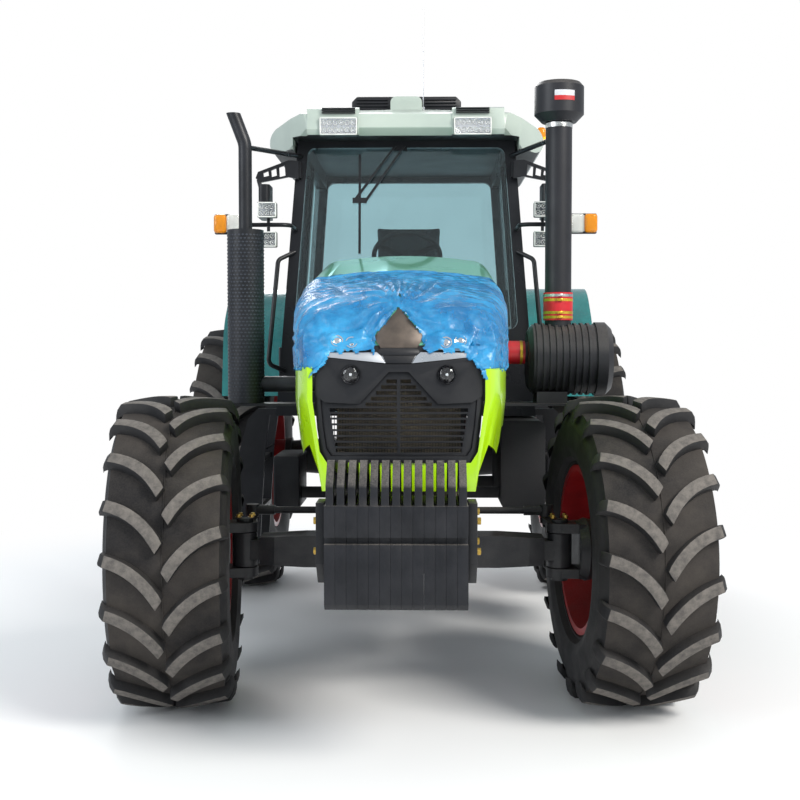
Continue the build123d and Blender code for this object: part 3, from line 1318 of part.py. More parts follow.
def lamps():
    """Indicator lamps outside, two square work lamps each side, and two more in each end of the roof."""
    pieces = []
    for side in (1, -1):
        low, high = sorted((side * (indicator_x - 74), side * (indicator_x + 74)))
        pieces.append(box(low, high, lamp_y - 40, lamp_y + 24 - seat_gap, indicator_z - 56, indicator_z + 56))
        for z in (indicator_z + 76, indicator_z - 86):
            low, high = sorted((side * (work_lamp_x - 52), side * (work_lamp_x + 52)))
            pieces.append(box(low, high, lamp_y - 40, lamp_y + 27 - seat_gap, z - 42, z + 42))
    half_width, half_height = roof_lamp["width"] / 2, roof_lamp["height"] / 2
    for x in (-roof_lamp["x"], roof_lamp["x"]):
        for y0, y1 in ((roof_front_y - 14, roof_front_y + 60 - seat_gap),
                       (roof_rear_y - 60 + seat_gap, roof_rear_y + 4)):
            pieces.append(box(x - half_width, x + half_width, y0, y1, roof_lamp["z"] - half_height,
                              roof_lamp["z"] + half_height))
    return pieces


mirror_top_z = header_z - 60


def mirrors(side):
    """Mirror on a truss arm from the front post, its head folded forwards on the drop bar."""
    z = mirror_top_z
    y = windscreen_y(z) - 60
    post_x = side_x(z) - 20
    arm = front_prism([(post_x, z + 14), (post_x + 60, z + 18), (post_x + 236, z - 48), (post_x + 250, z - 84),
                       (post_x + 224, z - 110), (post_x + 60, z - 78), (post_x, z - 90)], y, y + 22)
    for x0, x1 in ((76, 114), (126, 160), (172, 206)):
        top, bottom = -(x0 + x1) / 2 * 0.34 + 22, -70
        arm -= front_prism([(post_x + x0 + 4, z + top), (post_x + x1, z + top - 12),
                            (post_x + x1 - 3, z + bottom - 8), (post_x + x0, z + bottom)], y - 5, y + 30)
    arm += box(post_x - 14, post_x + 40, y + 16, y + 100, z - 80, z + 10)
    bar_low = (post_x + 172, y + 12, z - 330)
    arm += bar((post_x + 234, y + 11, z - 92), bar_low, 12)
    head = fillet(box(post_x + 150, post_x + 214, y - 160, y + 20, z - 330, z - 140).edges().filter_by(Axis.Z), 24)
    arm = (arm - cab_form(-seat_gap)) + head
    return arm if side > 0 else mirror(arm, about=Plane.YZ)


def on_roof(solid):
    """Trim the underside of a piece to stand on the crowned roof."""
    return solid - Pos(0, 0, seat_gap) * roof


def aircon_unit():
    """Flat air-conditioning housing on the roof."""
    front = roof_front_y + 360
    solid = box(-325, 325, front, front + 740, roof_crown_z - 46, 3186)
    return on_roof(chamfer(solid.edges().filter_by(Axis.Y).group_by(Axis.Z)[-1], 30))


def antenna():
    """Whip with its foot."""
    y = roof_front_y + 310
    whip = bar((100, y, roof_crown_z - 30), (100, y, 3690), 3)
    return on_roof(whip + bar((100, y, roof_crown_z - 30), (100, y, roof_crown_z + 40), 12))


def wiper():
    """Wiper hung from the header: two arms and a blade, parallel to the windscreen."""
    lean = math.degrees(math.atan(front_lean))
    z = 2856
    face = Pos(0, windscreen_y(z) - seat_gap, z) * Rot(-lean, 0, 0)
    solid = box(-80, 6, -12, 0, -16, 16)
    for x, drop in ((-10, -318), (-64, -300)):
        solid += front_prism([(x - 7, 8), (x + 7, 8), (x - 225, drop - 10), (x - 239, drop - 4)], -24, -10)
    solid += box(-310, -228, -26, -12, -326, -296) + box(-276, -262, -20, -2, -620, -40)
    return face * solid


save("lamp_brackets", *lamp_brackets(1), *lamp_brackets(-1))
save("lamps", *lamps())
save("mirrors", mirrors(1), mirrors(-1))
save("aircon_unit", aircon_unit())
save("antenna", antenna())
save("wiper", wiper())
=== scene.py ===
import json
import math

import bpy
from mathutils import Matrix, Vector

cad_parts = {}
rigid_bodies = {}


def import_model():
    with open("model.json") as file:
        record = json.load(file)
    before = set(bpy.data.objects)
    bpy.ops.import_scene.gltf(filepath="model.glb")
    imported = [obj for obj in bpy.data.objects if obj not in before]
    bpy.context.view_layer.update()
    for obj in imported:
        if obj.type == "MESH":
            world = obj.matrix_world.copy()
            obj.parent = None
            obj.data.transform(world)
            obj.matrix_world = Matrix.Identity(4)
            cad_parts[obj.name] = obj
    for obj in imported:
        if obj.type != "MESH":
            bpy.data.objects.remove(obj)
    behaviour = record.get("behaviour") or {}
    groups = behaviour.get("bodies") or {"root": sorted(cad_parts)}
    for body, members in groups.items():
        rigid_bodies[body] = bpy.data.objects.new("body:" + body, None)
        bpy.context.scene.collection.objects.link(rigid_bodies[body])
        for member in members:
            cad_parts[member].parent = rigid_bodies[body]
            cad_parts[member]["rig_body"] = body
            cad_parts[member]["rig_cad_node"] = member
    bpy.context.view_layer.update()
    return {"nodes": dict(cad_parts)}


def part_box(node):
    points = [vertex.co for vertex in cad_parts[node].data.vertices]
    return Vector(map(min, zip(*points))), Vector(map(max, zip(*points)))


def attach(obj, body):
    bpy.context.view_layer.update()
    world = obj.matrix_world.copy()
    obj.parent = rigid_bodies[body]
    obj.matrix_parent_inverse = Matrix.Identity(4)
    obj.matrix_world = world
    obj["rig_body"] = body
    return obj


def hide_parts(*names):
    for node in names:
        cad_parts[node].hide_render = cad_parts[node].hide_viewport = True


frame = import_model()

nodes = frame["nodes"]

# ---- Camera and studio
# The tractor stands on a plain pale floor and is seen from the front at chest height, a little to
# its left of centre. Three large soft lamps and a pale world light it.
camera_place = (0.103, -7.145, 1.68)
camera_turn = (87.6, 0.0, 1.13)         # degrees: pitch, roll, yaw
lens_length = 53.7
white = (1, 1, 1, 1)
sky_blue = (0.86, 0.93, 1, 1)
paper = (0.93, 0.93, 0.925, 1)
shadow_reach, plain_from = 2.9, 5.2     # metres from the origin
lamp_aim = Vector((0, 0, 1.3))


def node(tree, kind, **values):
    """A node, with settings by attribute name and socket values by their label."""
    made = tree.nodes.new("ShaderNode" + kind)
    for key, value in values.items():
        if hasattr(made, key):
            setattr(made, key, value)
        else:
            made.inputs[key.replace("_", " ")].default_value = value
    return made


def wire(tree, *routes):
    """Join sockets; each route is (node, output, node, input)."""
    for source, leaving, target, entering in routes:
        tree.links.new(source.outputs[leaving], target.inputs[entering])


def new_material(name, **values):
    """A material, its node tree and its shader, with the shader's plain values set."""
    material = bpy.data.materials.new(name)
    material.use_nodes = True
    shader = material.node_tree.nodes["Principled BSDF"]
    for key, value in values.items():
        shader.inputs[key.replace("_", " ")].default_value = value
    return material, material.node_tree, shader


bpy.ops.object.camera_add(location=camera_place, rotation=[math.radians(a) for a in camera_turn])
camera = bpy.context.object
camera.data.lens = lens_length
camera.data.sensor_width = 36
camera.data.clip_end = 200
bpy.context.scene.camera = camera
bpy.context.scene.view_settings.view_transform = "Standard"

world = bpy.data.worlds.new("studio")
bpy.context.scene.world = world
world.use_nodes = True
tree = world.node_tree
tree.nodes.clear()
light_path = node(tree, "LightPath")
any_view = node(tree, "Math", operation="MAXIMUM")
blank = node(tree, "Background", Color=white)
sky = node(tree, "Background", Color=sky_blue, Strength=0.62)
either = node(tree, "MixShader")
output = node(tree, "OutputWorld")
wire(tree, (light_path, "Is Camera Ray", any_view, 0), (light_path, "Is Transmission Ray", any_view, 1),
     (any_view, 0, either, "Fac"), (sky, 0, either, 1), (blank, 0, either, 2),
     (either, 0, output, "Surface"))

# far from the tractor the camera sees the floor as plain white, and near it the shadow stays
bpy.ops.mesh.primitive_plane_add(size=160, location=(0, 0, 0))
floor = bpy.context.object
floor.name = "floor"
floor_finish, tree, shader = new_material(
    "floor_paper", Base_Color=paper, Roughness=0.9, Specular_IOR_Level=0.1)
place = node(tree, "TexCoord")
reach = node(tree, "VectorMath", operation="LENGTH")
fade = node(tree, "MapRange", interpolation_type="SMOOTHSTEP", From_Min=shadow_reach, From_Max=plain_from)
seen = node(tree, "LightPath")
far_seen = node(tree, "Math", operation="MULTIPLY")
glow = node(tree, "Emission", Color=white)
ground = node(tree, "MixShader")
wire(tree, (place, "Object", reach, 0), (reach, "Value", fade, "Value"), (fade, 0, far_seen, 0),
     (seen, "Is Camera Ray", far_seen, 1), (far_seen, 0, ground, "Fac"), (shader, 0, ground, 1),
     (glow, 0, ground, 2), (ground, 0, tree.nodes["Material Output"], "Surface"))
floor.data.materials.append(floor_finish)

for name, place, size, power, colour in (
        ("key_lamp", (7.5, -8.5, 9.0), 5.0, 1500, (1, 0.97, 0.92)),
        ("fill_lamp", (-9.0, -7.0, 5.5), 6.0, 480, (0.92, 0.96, 1)),
        ("back_lamp", (-3.0, 10.0, 8.0), 6.0, 600, (1, 1, 1))):
    bpy.ops.object.light_add(type="AREA", location=place)
    lamp = bpy.context.object
    lamp.name = name
    lamp.data.size = size
    lamp.data.energy = power
    lamp.data.color = colour
    lamp.rotation_euler = (lamp_aim - Vector(place)).to_track_quat("-Z", "Y").to_euler()


# ---- Tyres
# Radial drive tyres of black rubber: a smooth carcass from bead to bead with rings on its walls,
# and two rows of curved lugs that meet in a V. The lug faces are worn and grey with dry dust.
lug_count = {"front": 19, "rear": 21}
lug_height = 0.046
lug_width = 0.064
lug_root = 0.012        # how far a lug reaches into the carcass, and starts from the middle
lug_start_angle, lug_end_angle = 62, 14         # degrees from square across the tread
lug_steps = 8
tyre_sizes = {"front": (0.732, 0.540, 0.381, 0.430), "rear": (0.9175, 0.530, 0.4826, 0.440)}
steer_rest = math.radians(5.5)
road_dust = (0.34, 0.30, 0.26, 1)
rubber_black = (0.012, 0.012, 0.014, 1)
rubber_faded = (0.022, 0.021, 0.021, 1)
rubber_dust = (0.075, 0.066, 0.058, 1)
lug_grey = (0.150, 0.137, 0.125, 1)
lug_grey_dark = (0.070, 0.066, 0.064, 1)
floor_black = (0.008, 0.008, 0.010, 1)
floor_brown = (0.055, 0.047, 0.041, 1)
floor_dust = (0.10, 0.088, 0.076, 1)


def alone(piece):
    """Make one piece the only one picked, and the active one."""
    bpy.ops.object.select_all(action="DESELECT")
    piece.select_set(True)
    bpy.context.view_layer.objects.active = piece


def open_piece(piece, mode="FACE"):
    """Edit one piece alone, with nothing picked in it yet."""
    alone(piece)
    bpy.ops.object.mode_set(mode="EDIT")
    bpy.ops.mesh.select_mode(type=mode)
    bpy.ops.mesh.select_all(action="DESELECT")


def close_piece():
    bpy.ops.object.mode_set(mode="OBJECT")


def pick(piece, kind, test):
    """Pick the faces or vertices whose middle passes a test."""
    bpy.ops.object.mode_set(mode="OBJECT")
    for item in getattr(piece.data, kind):
        item.select = test(item.co if kind == "vertices" else item.center)
    bpy.ops.object.mode_set(mode="EDIT")


def settle(piece):
    """Write a piece's place into its mesh, with its object at the origin."""
    alone(piece)
    bpy.ops.object.transform_apply(location=True, rotation=True, scale=True)
    return piece


def modify(piece, kind, **settings):
    """Add one modifier, set it and apply it."""
    modifier = piece.modifiers.new(kind.lower(), kind)
    for key, value in settings.items():
        setattr(modifier, key, value)
    alone(piece)
    bpy.ops.object.modifier_apply(modifier=modifier.name)


def join(pieces, name):
    """One mesh out of several; it lies in the first one's object."""
    alone(pieces[0])
    for piece in pieces:
        piece.select_set(True)
    bpy.ops.object.join()
    pieces[0].name = name
    return pieces[0]


def copy_of(piece, name):
    """A shown copy with its own mesh, in its own right and on no body yet."""
    twin = piece.copy()
    twin.data = piece.data.copy()
    twin.name = name
    bpy.context.scene.collection.objects.link(twin)
    twin.hide_set(False)
    twin.hide_viewport = twin.hide_render = False
    twin.parent = None
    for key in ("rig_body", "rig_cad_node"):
        if key in twin:
            del twin[key]
    return twin


def merge_points(piece, distance):
    """Pick every point, and merge those closer than a distance; the piece stays open."""
    open_piece(piece, "VERT")
    bpy.ops.mesh.select_all(action="SELECT")
    bpy.ops.mesh.remove_doubles(threshold=distance)


def smooth(piece, angle=35):
    alone(piece)
    bpy.ops.object.shade_smooth_by_angle(angle=math.radians(angle), keep_sharp_edges=False)


def paint(piece, *finishes):
    """Give a piece its materials, in the order of its faces' material numbers."""
    piece.data.materials.clear()
    for finish in finishes:
        piece.data.materials.append(finish)


def hand_in(piece, body="chassis"):
    """Give a finished piece the body that it moves with."""
    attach(piece, body)


def close_surface(piece):
    """Merge doubled points and turn every face outwards."""
    merge_points(piece, 0.00005)
    bpy.ops.mesh.normals_make_consistent(inside=False)
    close_piece()


def chain(name, points):
    """A line of vertices through points, drawn by extruding the first one."""
    bpy.ops.mesh.primitive_plane_add(size=0.01, location=points[0])
    piece = settle(bpy.context.object)
    piece.name = name
    open_piece(piece, "VERT")
    bpy.ops.mesh.select_all(action="SELECT")
    bpy.ops.mesh.merge(type="CENTER")
    for start, end in zip(points, points[1:]):
        bpy.ops.mesh.extrude_region_move(
            TRANSFORM_OT_translate={"value": [b - a for a, b in zip(start, end)]})
    close_piece()
    return piece


def turn_profile(name, profile, steps, centre=(0, 0, 0), axis=(1, 0, 0), closed=False):
    """Spin an outline of (along the axis, radius) points round an axis through centre."""
    centre = Vector(centre)
    along = Vector(axis)
    out = Vector((0, 0, 1)) if abs(along.z) < 0.5 else Vector((1, 0, 0))
    points = [tuple(centre + along * a + out * r) for a, r in profile]
    if closed:
        points.append(points[0])
    piece = chain(name, points)
    open_piece(piece, "VERT")
    bpy.ops.mesh.select_all(action="SELECT")
    bpy.ops.mesh.spin(steps=steps, angle=2 * math.pi, center=centre, axis=along)
    close_piece()
    close_surface(piece)
    return piece


def new_group(name, inputs, output):
    """A shader node group with number inputs, given with their first values, and one output."""
    group = bpy.data.node_groups.new(name, "ShaderNodeTree")
    for label, value in inputs.items():
        socket = group.interface.new_socket(label, in_out="INPUT", socket_type="NodeSocketFloat")
        socket.default_value = value
    group.interface.new_socket(output, in_out="OUTPUT", socket_type="NodeSocketFloat")
    return group, group.nodes.new("NodeGroupInput"), group.nodes.new("NodeGroupOutput")


def two_tones(tree, first, second):
    """A mix of two colours."""
    mix = node(tree, "Mix", data_type="RGBA")
    mix.inputs[6].default_value = first
    mix.inputs[7].default_value = second
    return mix


# Dust lies on what faces upwards, in patches; the mask is 1 where it is thick.
dust_group, entry, leave = new_group(
    "dust_mask", {"Amount": 0.4, "Patch Size": 4.0, "Side Share": 0.1}, "Mask")
place = node(dust_group, "TexCoord")
facing = node(dust_group, "NewGeometry")
split = node(dust_group, "SeparateXYZ")
patches = node(dust_group, "TexNoise", Detail=6.0, Roughness=0.62)
specks = node(dust_group, "TexNoise", Scale=160.0, Detail=2.0)
upward = node(dust_group, "MapRange", From_Min=0.15, From_Max=0.85)
both = node(dust_group, "Math", operation="MULTIPLY")
speckled = node(dust_group, "Math", operation="ADD")
trim = node(dust_group, "Math", operation="SUBTRACT")
trim.inputs[1].default_value = 0.55
scaled = node(dust_group, "Math", operation="MULTIPLY", use_clamp=True)
wire(dust_group, (place, "Object", patches, "Vector"), (place, "Object", specks, "Vector"),
     (entry, "Patch Size", patches, "Scale"), (facing, "Normal", split, 0), (split, "Z", upward, "Value"),
     (entry, "Side Share", upward, "To Min"), (specks, "Fac", speckled, 0), (patches, "Fac", speckled, 1),
     (speckled, 0, trim, 0), (trim, 0, both, 0), (upward, 0, both, 1), (both, 0, scaled, 0),
     (entry, "Amount", scaled, 1), (scaled, 0, leave, "Mask"))

# Fine relief of a moulded, cast or sprayed surface, as a height.
grain_group, entry, leave = new_group(
    "surface_grain", {"Scale": 300.0, "Waves": 12.0, "Wave Share": 0.4}, "Height")
place = node(grain_group, "TexCoord")
fine = node(grain_group, "TexNoise", Detail=3.0)
slow = node(grain_group, "TexNoise", Detail=2.0)
blend = node(grain_group, "Mix")
wire(grain_group, (place, "Object", fine, "Vector"), (place, "Object", slow, "Vector"),
     (entry, "Scale", fine, "Scale"), (entry, "Waves", slow, "Scale"), (entry, "Wave Share", blend, 0),
     (fine, "Fac", blend, 2), (slow, "Fac", blend, 3), (blend, 0, leave, "Height"))


def finish_material(name, colour, shade, dust_colour=road_dust, roughness=0.5, spread=0.12, metallic=0.0,
                    coat=0.0, coat_roughness=0.1, dust=0.3, patch=4.0, mottle=3.0, grain=300.0, waves=12.0,
                    wave_share=0.4, relief=0.0004, specular=0.5, side_dust=0.1):
    """Paint, rubber, metal or plastic: two shades in patches, dust over them, fine relief below."""
    material, tree, shader = new_material(name, Metallic=metallic, Coat_Weight=coat,
                                          Coat_Roughness=coat_roughness, Specular_IOR_Level=specular)
    place = node(tree, "TexCoord")
    patches = node(tree, "TexNoise", Scale=mottle, Detail=5.0, Roughness=0.6)
    tone = two_tones(tree, shade, colour)
    contrast = node(tree, "MapRange", From_Min=0.32, From_Max=0.62)
    mask = node(tree, "Group", node_tree=dust_group, Amount=dust, Patch_Size=patch, Side_Share=side_dust)
    dusty = node(tree, "Mix", data_type="RGBA")
    dusty.inputs[7].default_value = dust_colour
    rough = node(tree, "MapRange", From_Min=0.3, From_Max=0.7, To_Min=max(0.02, roughness - spread / 2),
                 To_Max=roughness + spread / 2)
    dull = node(tree, "Mix")
    dull.inputs[3].default_value = 0.85
    height = node(tree, "Group", node_tree=grain_group, Scale=grain, Waves=waves, Wave_Share=wave_share)
    bump = node(tree, "Bump", Strength=1.0, Distance=relief)
    wire(tree, (place, "Object", patches, "Vector"), (patches, "Fac", contrast, "Value"),
         (contrast, 0, tone, 0), (tone, 2, dusty, 6), (mask, "Mask", dusty, 0),
         (dusty, 2, shader, "Base Color"),
         (patches, "Fac", rough, "Value"), (rough, 0, dull, 2), (mask, "Mask", dull, 0),
         (dull, 0, shader, "Roughness"), (height, "Height", bump, "Height"), (bump, 0, shader, "Normal"))
    return material


rubber = finish_material("tyre_rubber", rubber_black, rubber_faded, rubber_dust, roughness=0.62, spread=0.2,
                         dust=0.55, patch=5.0, mottle=6.0, grain=420.0, relief=0.0006, specular=0.35)
lug_face = finish_material("worn_lug_face", lug_grey, lug_grey_dark, roughness=0.88, dust=0.35,
                           side_dust=0.5, patch=9.0, mottle=34.0, grain=520.0, relief=0.0016, specular=0.2)
tread_floor = finish_material("dusty_tread_floor", floor_black, floor_brown, floor_dust,
                              roughness=0.8, dust=0.5, side_dust=0.5, patch=7.0, mottle=2.6,
                              grain=260.0, relief=0.0012, specular=0.25)


def tread_lug(half_width):
    """One lug laid flat: x round the tyre, y away from the axle, z across."""
    bpy.ops.mesh.primitive_plane_add(size=1)
    lug = bpy.context.object
    lug.scale = (lug_width, lug_height + lug_root, 1)
    lug.location = (0, (lug_height - lug_root) / 2, 0)
    settle(lug)
    open_piece(lug, "VERT")
    pick(lug, "vertices", lambda point: point.y > 0)
    bpy.ops.transform.resize(value=(0.8, 1, 1), center_override=(0, 0, 0))
    bpy.ops.mesh.select_all(action="SELECT")
    bpy.ops.transform.translate(value=(0, 0, lug_root))
    angle = math.radians(lug_start_angle)
    turn = math.radians(lug_start_angle - lug_end_angle) / lug_steps
    lean = angle * 0.55
    bend = Matrix.Rotation(lean, 3, "Y")
    close_piece()
    start = Vector((0, 0, lug_root))
    for vertex in lug.data.vertices:
        vertex.co = bend @ (vertex.co - start) + start
    # length of the lug's arc, so that it ends at the shoulder
    reach = sum(math.cos(angle - turn * (step + 0.5)) for step in range(lug_steps))
    stride = (half_width * 0.9 - lug_root) / reach
    open_piece(lug, "FACE")
    bpy.ops.mesh.select_all(action="SELECT")
    x, z, drop = 0.0, lug_root, 0.0
    for step in range(lug_steps):
        middle = angle - turn * (step + 0.5)
        x_next, z_next = x + stride * math.sin(middle), z + stride * math.cos(middle)
        drop_next = 0.024 * (z_next / (half_width * 0.94)) ** 2
        bpy.ops.mesh.extrude_region_move(
            TRANSFORM_OT_translate={"value": (x_next - x, drop - drop_next, z_next - z)})
        toward = angle - turn * (step + 1)
        bpy.ops.object.mode_set(mode="OBJECT")
        twist = Matrix.Rotation(toward - lean, 3, "Y")
        centre = Vector((x_next, 0, z_next))
        for vertex in lug.data.vertices:
            if vertex.select:
                vertex.co = twist @ (vertex.co - centre) + centre
        bpy.ops.object.mode_set(mode="EDIT")
        lean = toward
        x, z, drop = x_next, z_next, drop_next
    # over the shoulder and a little way down the wall
    for forward, fall, outward, thin in ((0.006, 0.018, 0.018, 1.0), (0.004, 0.030, 0.008, 0.9)):
        bpy.ops.mesh.extrude_region_move(TRANSFORM_OT_translate={"value": (forward, -fall, outward)})
        bpy.ops.transform.resize(value=(thin, 0.8, 1), center_override=(x, -drop - 0.02, z))
    close_piece()
    close_surface(lug)
    modify(lug, "BEVEL", width=0.0045, segments=2, limit_method="ANGLE", angle_limit=math.radians(38))
    return lug


def carcass_profile(size):
    """Half of the tyre's section from the bead to the crown, as (across, radius) points."""
    radius, width, rim_radius, rim_width = size
    half, crown = width / 2, radius - lug_height
    bead = rim_radius + 0.001
    wall = crown - 0.03 - bead
    side = rim_width / 2
    points = [(side - 0.04, bead), (side - 0.001, bead), (side - 0.001, bead + 0.024),
              (side + 0.012, bead + 0.030), (side + 0.012, bead + 0.040)]
    for step in range(1, 12):
        part = step / 12
        bulge = math.sin(math.pi * (0.22 + 0.62 * part))
        across = half * (0.80 + 0.185 * bulge) - (0.0 if part < 0.8 else (part - 0.8) * 0.055)
        ring = 0.004 if step in (3, 4, 9) else 0.0
        points.append((across + ring, bead + 0.04 + (wall - 0.04) * part))
    for part in (0.93, 0.85, 0.7, 0.5, 0.28, 0.1):
        points.append((half * 0.94 * part, crown - 0.024 * part ** 2))
    return points + [(0.004, crown), (0.0025, crown + 0.004), (0, crown + 0.004)]


def make_tyre(kind):
    size = tyre_sizes[kind]
    radius, width = size[:2]
    half_profile = carcass_profile(size)
    profile = half_profile + [(-a, r) for a, r in reversed(half_profile[:-1])]
    carcass = turn_profile("carcass", profile, 108)
    carcass_radius = radius - lug_height
    count = lug_count[kind]
    pitch = 2 * math.pi * carcass_radius / count
    right_lug = tread_lug(width / 2)
    left_lug = copy_of(right_lug, "lug_twin")
    left_lug.scale = (1, 1, -1)
    left_lug.location = (pitch / 2, 0, 0)
    settle(left_lug)
    close_surface(left_lug)
    row = join([right_lug, left_lug], "tread")
    bpy.ops.curve.primitive_bezier_circle_add(radius=carcass_radius)
    ring = bpy.context.object
    ring.data.resolution_u = 64
    modify(row, "ARRAY", use_relative_offset=False, use_constant_offset=True,
           constant_offset_displace=(pitch, 0, 0), count=count)
    modify(row, "CURVE", object=ring, deform_axis="POS_X")
    bpy.data.objects.remove(ring)
    row.rotation_euler = (0, math.pi / 2, 0)
    settle(row)
    paint(carcass, rubber, tread_floor)
    paint(row, rubber, lug_face)
    for face in carcass.data.polygons:
        middle = face.center
        if math.hypot(middle.y, middle.z) > carcass_radius - 0.03 and abs(middle.x) < width * 0.47:
            face.material_index = 1
    for face in row.data.polygons:
        middle = face.center
        outward = Vector((0, middle.y, middle.z)).normalized()
        top = radius - 0.026 * (middle.x / (width / 2 * 0.94)) ** 2
        if face.normal.dot(outward) > 0.8 and math.hypot(middle.y, middle.z) > top - 0.012:
            face.material_index = 1
    tyre = join([carcass, row], kind + "_tyre_pattern")
    smooth(tyre, 32)
    return tyre


def wheel_place(kind, side):
    """Centre of a wheel and how it is turned, from the CAD tyre's box."""
    low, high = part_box(f"{kind}_{side}_tyre")
    return (low + high) / 2, (steer_rest if kind == "front" else 0.0)


for kind in ("front", "rear"):
    pattern = make_tyre(kind)
    for side in ("left", "right"):
        tyre = copy_of(pattern, f"{kind}_{side}_tyre_rubber")
        centre, turn = wheel_place(kind, side)
        tyre.rotation_euler = (0, 0, turn)
        tyre.location = centre
        settle(tyre)
        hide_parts(f"{kind}_{side}_tyre")
        hand_in(tyre, f"{kind}_{side}_wheel")
    bpy.data.objects.remove(pattern)


# ---- Wheel rims
# Pressed steel discs welded into drop-centre rims and sprayed dark red; eight plated nuts hold
# each disc to its hub.
rim_red = (0.40, 0.010, 0.014, 1)
rim_red_worn = (0.25, 0.006, 0.010, 1)
nut_count, nut_width, nut_height = 8, 0.034, 0.022
nut_rings = {"front": 0.140, "rear": 0.138}       # radius of the circle that the nuts stand on
rim_paint = finish_material("rim_red_paint", rim_red, rim_red_worn, roughness=0.36, coat=0.35,
                            coat_roughness=0.2, dust=0.28, patch=6.0, mottle=5.0, relief=0.0003)
zinc = finish_material("zinc_plate", (0.56, 0.55, 0.53, 1), (0.36, 0.35, 0.33, 1), roughness=0.34,
                       metallic=1.0, dust=0.2, patch=30.0, mottle=40.0, grain=600.0, relief=0.0002)


def finish_node(names, finish):
    """Give CAD nodes their material."""
    for name in names.split():
        for slot in nodes[name].material_slots:
            slot.material = finish


def rod(sides, radius, length, middle=(0, 0, 0), turn=(0, 0, 0)):
    """A plain cylinder round a point, along Z unless it is turned."""
    bpy.ops.mesh.primitive_cylinder_add(vertices=sides, radius=radius, depth=length,
                                        location=middle, rotation=turn)
    return settle(bpy.context.object)


def hex_bolt(name, width, height):
    """A hexagon head on its washer, standing up along +Z from its seat at the origin."""
    head = rod(6, width / 2, height, (0, 0, height / 2 + width * 0.1))
    modify(head, "BEVEL", width=width * 0.05, segments=1, limit_method="ANGLE")
    return join([head, rod(16, width * 0.68, width * 0.12, (0, 0, width * 0.06))], name)


def set_out(pattern, places, name, finish):
    """Copies of one pattern at each place (a matrix), as one mesh; the pattern is used up."""
    copies = []
    for place in places:
        twin = copy_of(pattern, name + "_one")
        twin.data.transform(place)
        copies.append(twin)
    bpy.data.objects.remove(pattern)
    piece = join(copies, name)
    paint(piece, finish)
    smooth(piece, 30)
    return piece


def bolt_on(name, width, height, places, finish, body="chassis"):
    """Plated hexagon heads of one size at each place, as one finished piece."""
    hand_in(set_out(hex_bolt("bolt_pattern", width, height), places, name, finish), body)


def stand(point, direction):
    """Matrix that stands something modelled along +Z at a point, along a direction."""
    turn = Vector(direction).to_track_quat("Z", "Y").to_matrix().to_4x4()
    return Matrix.Translation(Vector(point)) @ turn


for kind, nut_ring in nut_rings.items():
    for side, mirrored in (("left", 1), ("right", -1)):
        name = f"{kind}_{side}_rim"
        finish_node(name, rim_paint)
        centre, turn = wheel_place(kind, side)
        half_turn = 0 if mirrored > 0 else math.pi
        wheel = Matrix.Translation(centre) @ Matrix.Rotation(turn + half_turn, 4, "Z")
        inward = wheel.inverted()
        seat = max(point.x for point in (inward @ vertex.co for vertex in nodes[name].data.vertices)
                   if abs(math.hypot(point.y, point.z) - nut_ring) < 0.016)
        nuts = [wheel @ stand((seat, nut_ring * math.cos(a), nut_ring * math.sin(a)), (1, 0, 0))
                for a in (2 * math.pi * n / nut_count for n in range(nut_count))]
        bolt_on(f"{kind}_{side}_wheel_nuts", nut_width, nut_height, nuts, zinc, f"{kind}_{side}_wheel")


# ---- Front axle and steering
# A cast beam between forged knuckles, painted black and dusty on top; plated bolts hold the
# kingpin caps, and more of them close the beam's front.
axle_black = (0.014, 0.015, 0.018, 1)
axle_worn = (0.03, 0.03, 0.032, 1)
brass_yellow = (0.62, 0.42, 0.10, 1)
black_cast = finish_material("black_casting", axle_black, axle_worn, roughness=0.48, coat=0.12,
                             dust=0.26, patch=5.0, mottle=7.0, grain=190.0, relief=0.0012, specular=0.25)
rod_chrome = finish_material("hard_chrome", (0.72, 0.72, 0.73, 1), (0.55, 0.55, 0.56, 1),
                             roughness=0.16, metallic=1.0, dust=0.06, grain=500.0, relief=0.0001)
yellow_zinc = finish_material("yellow_zinc", brass_yellow, (0.42, 0.27, 0.06, 1), roughness=0.34,
                              metallic=1.0, dust=0.12, mottle=40.0, grain=600.0, relief=0.0002)
finish_node("front_axle_beam front_left_knuckle front_right_knuckle steering_rod", black_cast)
axle = wheel_place("front", "left")[0]
kingpin_x = 0.75
beam_face = axle.y - 0.085
for side, mirrored in (("left", 1), ("right", -1)):
    cap_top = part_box(f"front_{side}_knuckle")[1].z
    bolts = [stand((mirrored * kingpin_x + x, axle.y + y, cap_top), (0, 0, 1))
             for y in (-0.03, 0.03) for x in (-0.03, 0.03)]
    bolt_on(f"{side}_kingpin_cap_bolts", 0.022, 0.012, bolts, yellow_zinc, f"{side}_knuckle")
bolts = [stand((mirrored * x, beam_face, axle.z + z), (0, -1, 0))
         for mirrored in (1, -1) for x, z in ((0.50, 0.035), (0.56, 0.04), (0.50, -0.035), (0.60, -0.038))]
bolt_on("axle_beam_bolts", 0.024, 0.012, bolts, yellow_zinc)


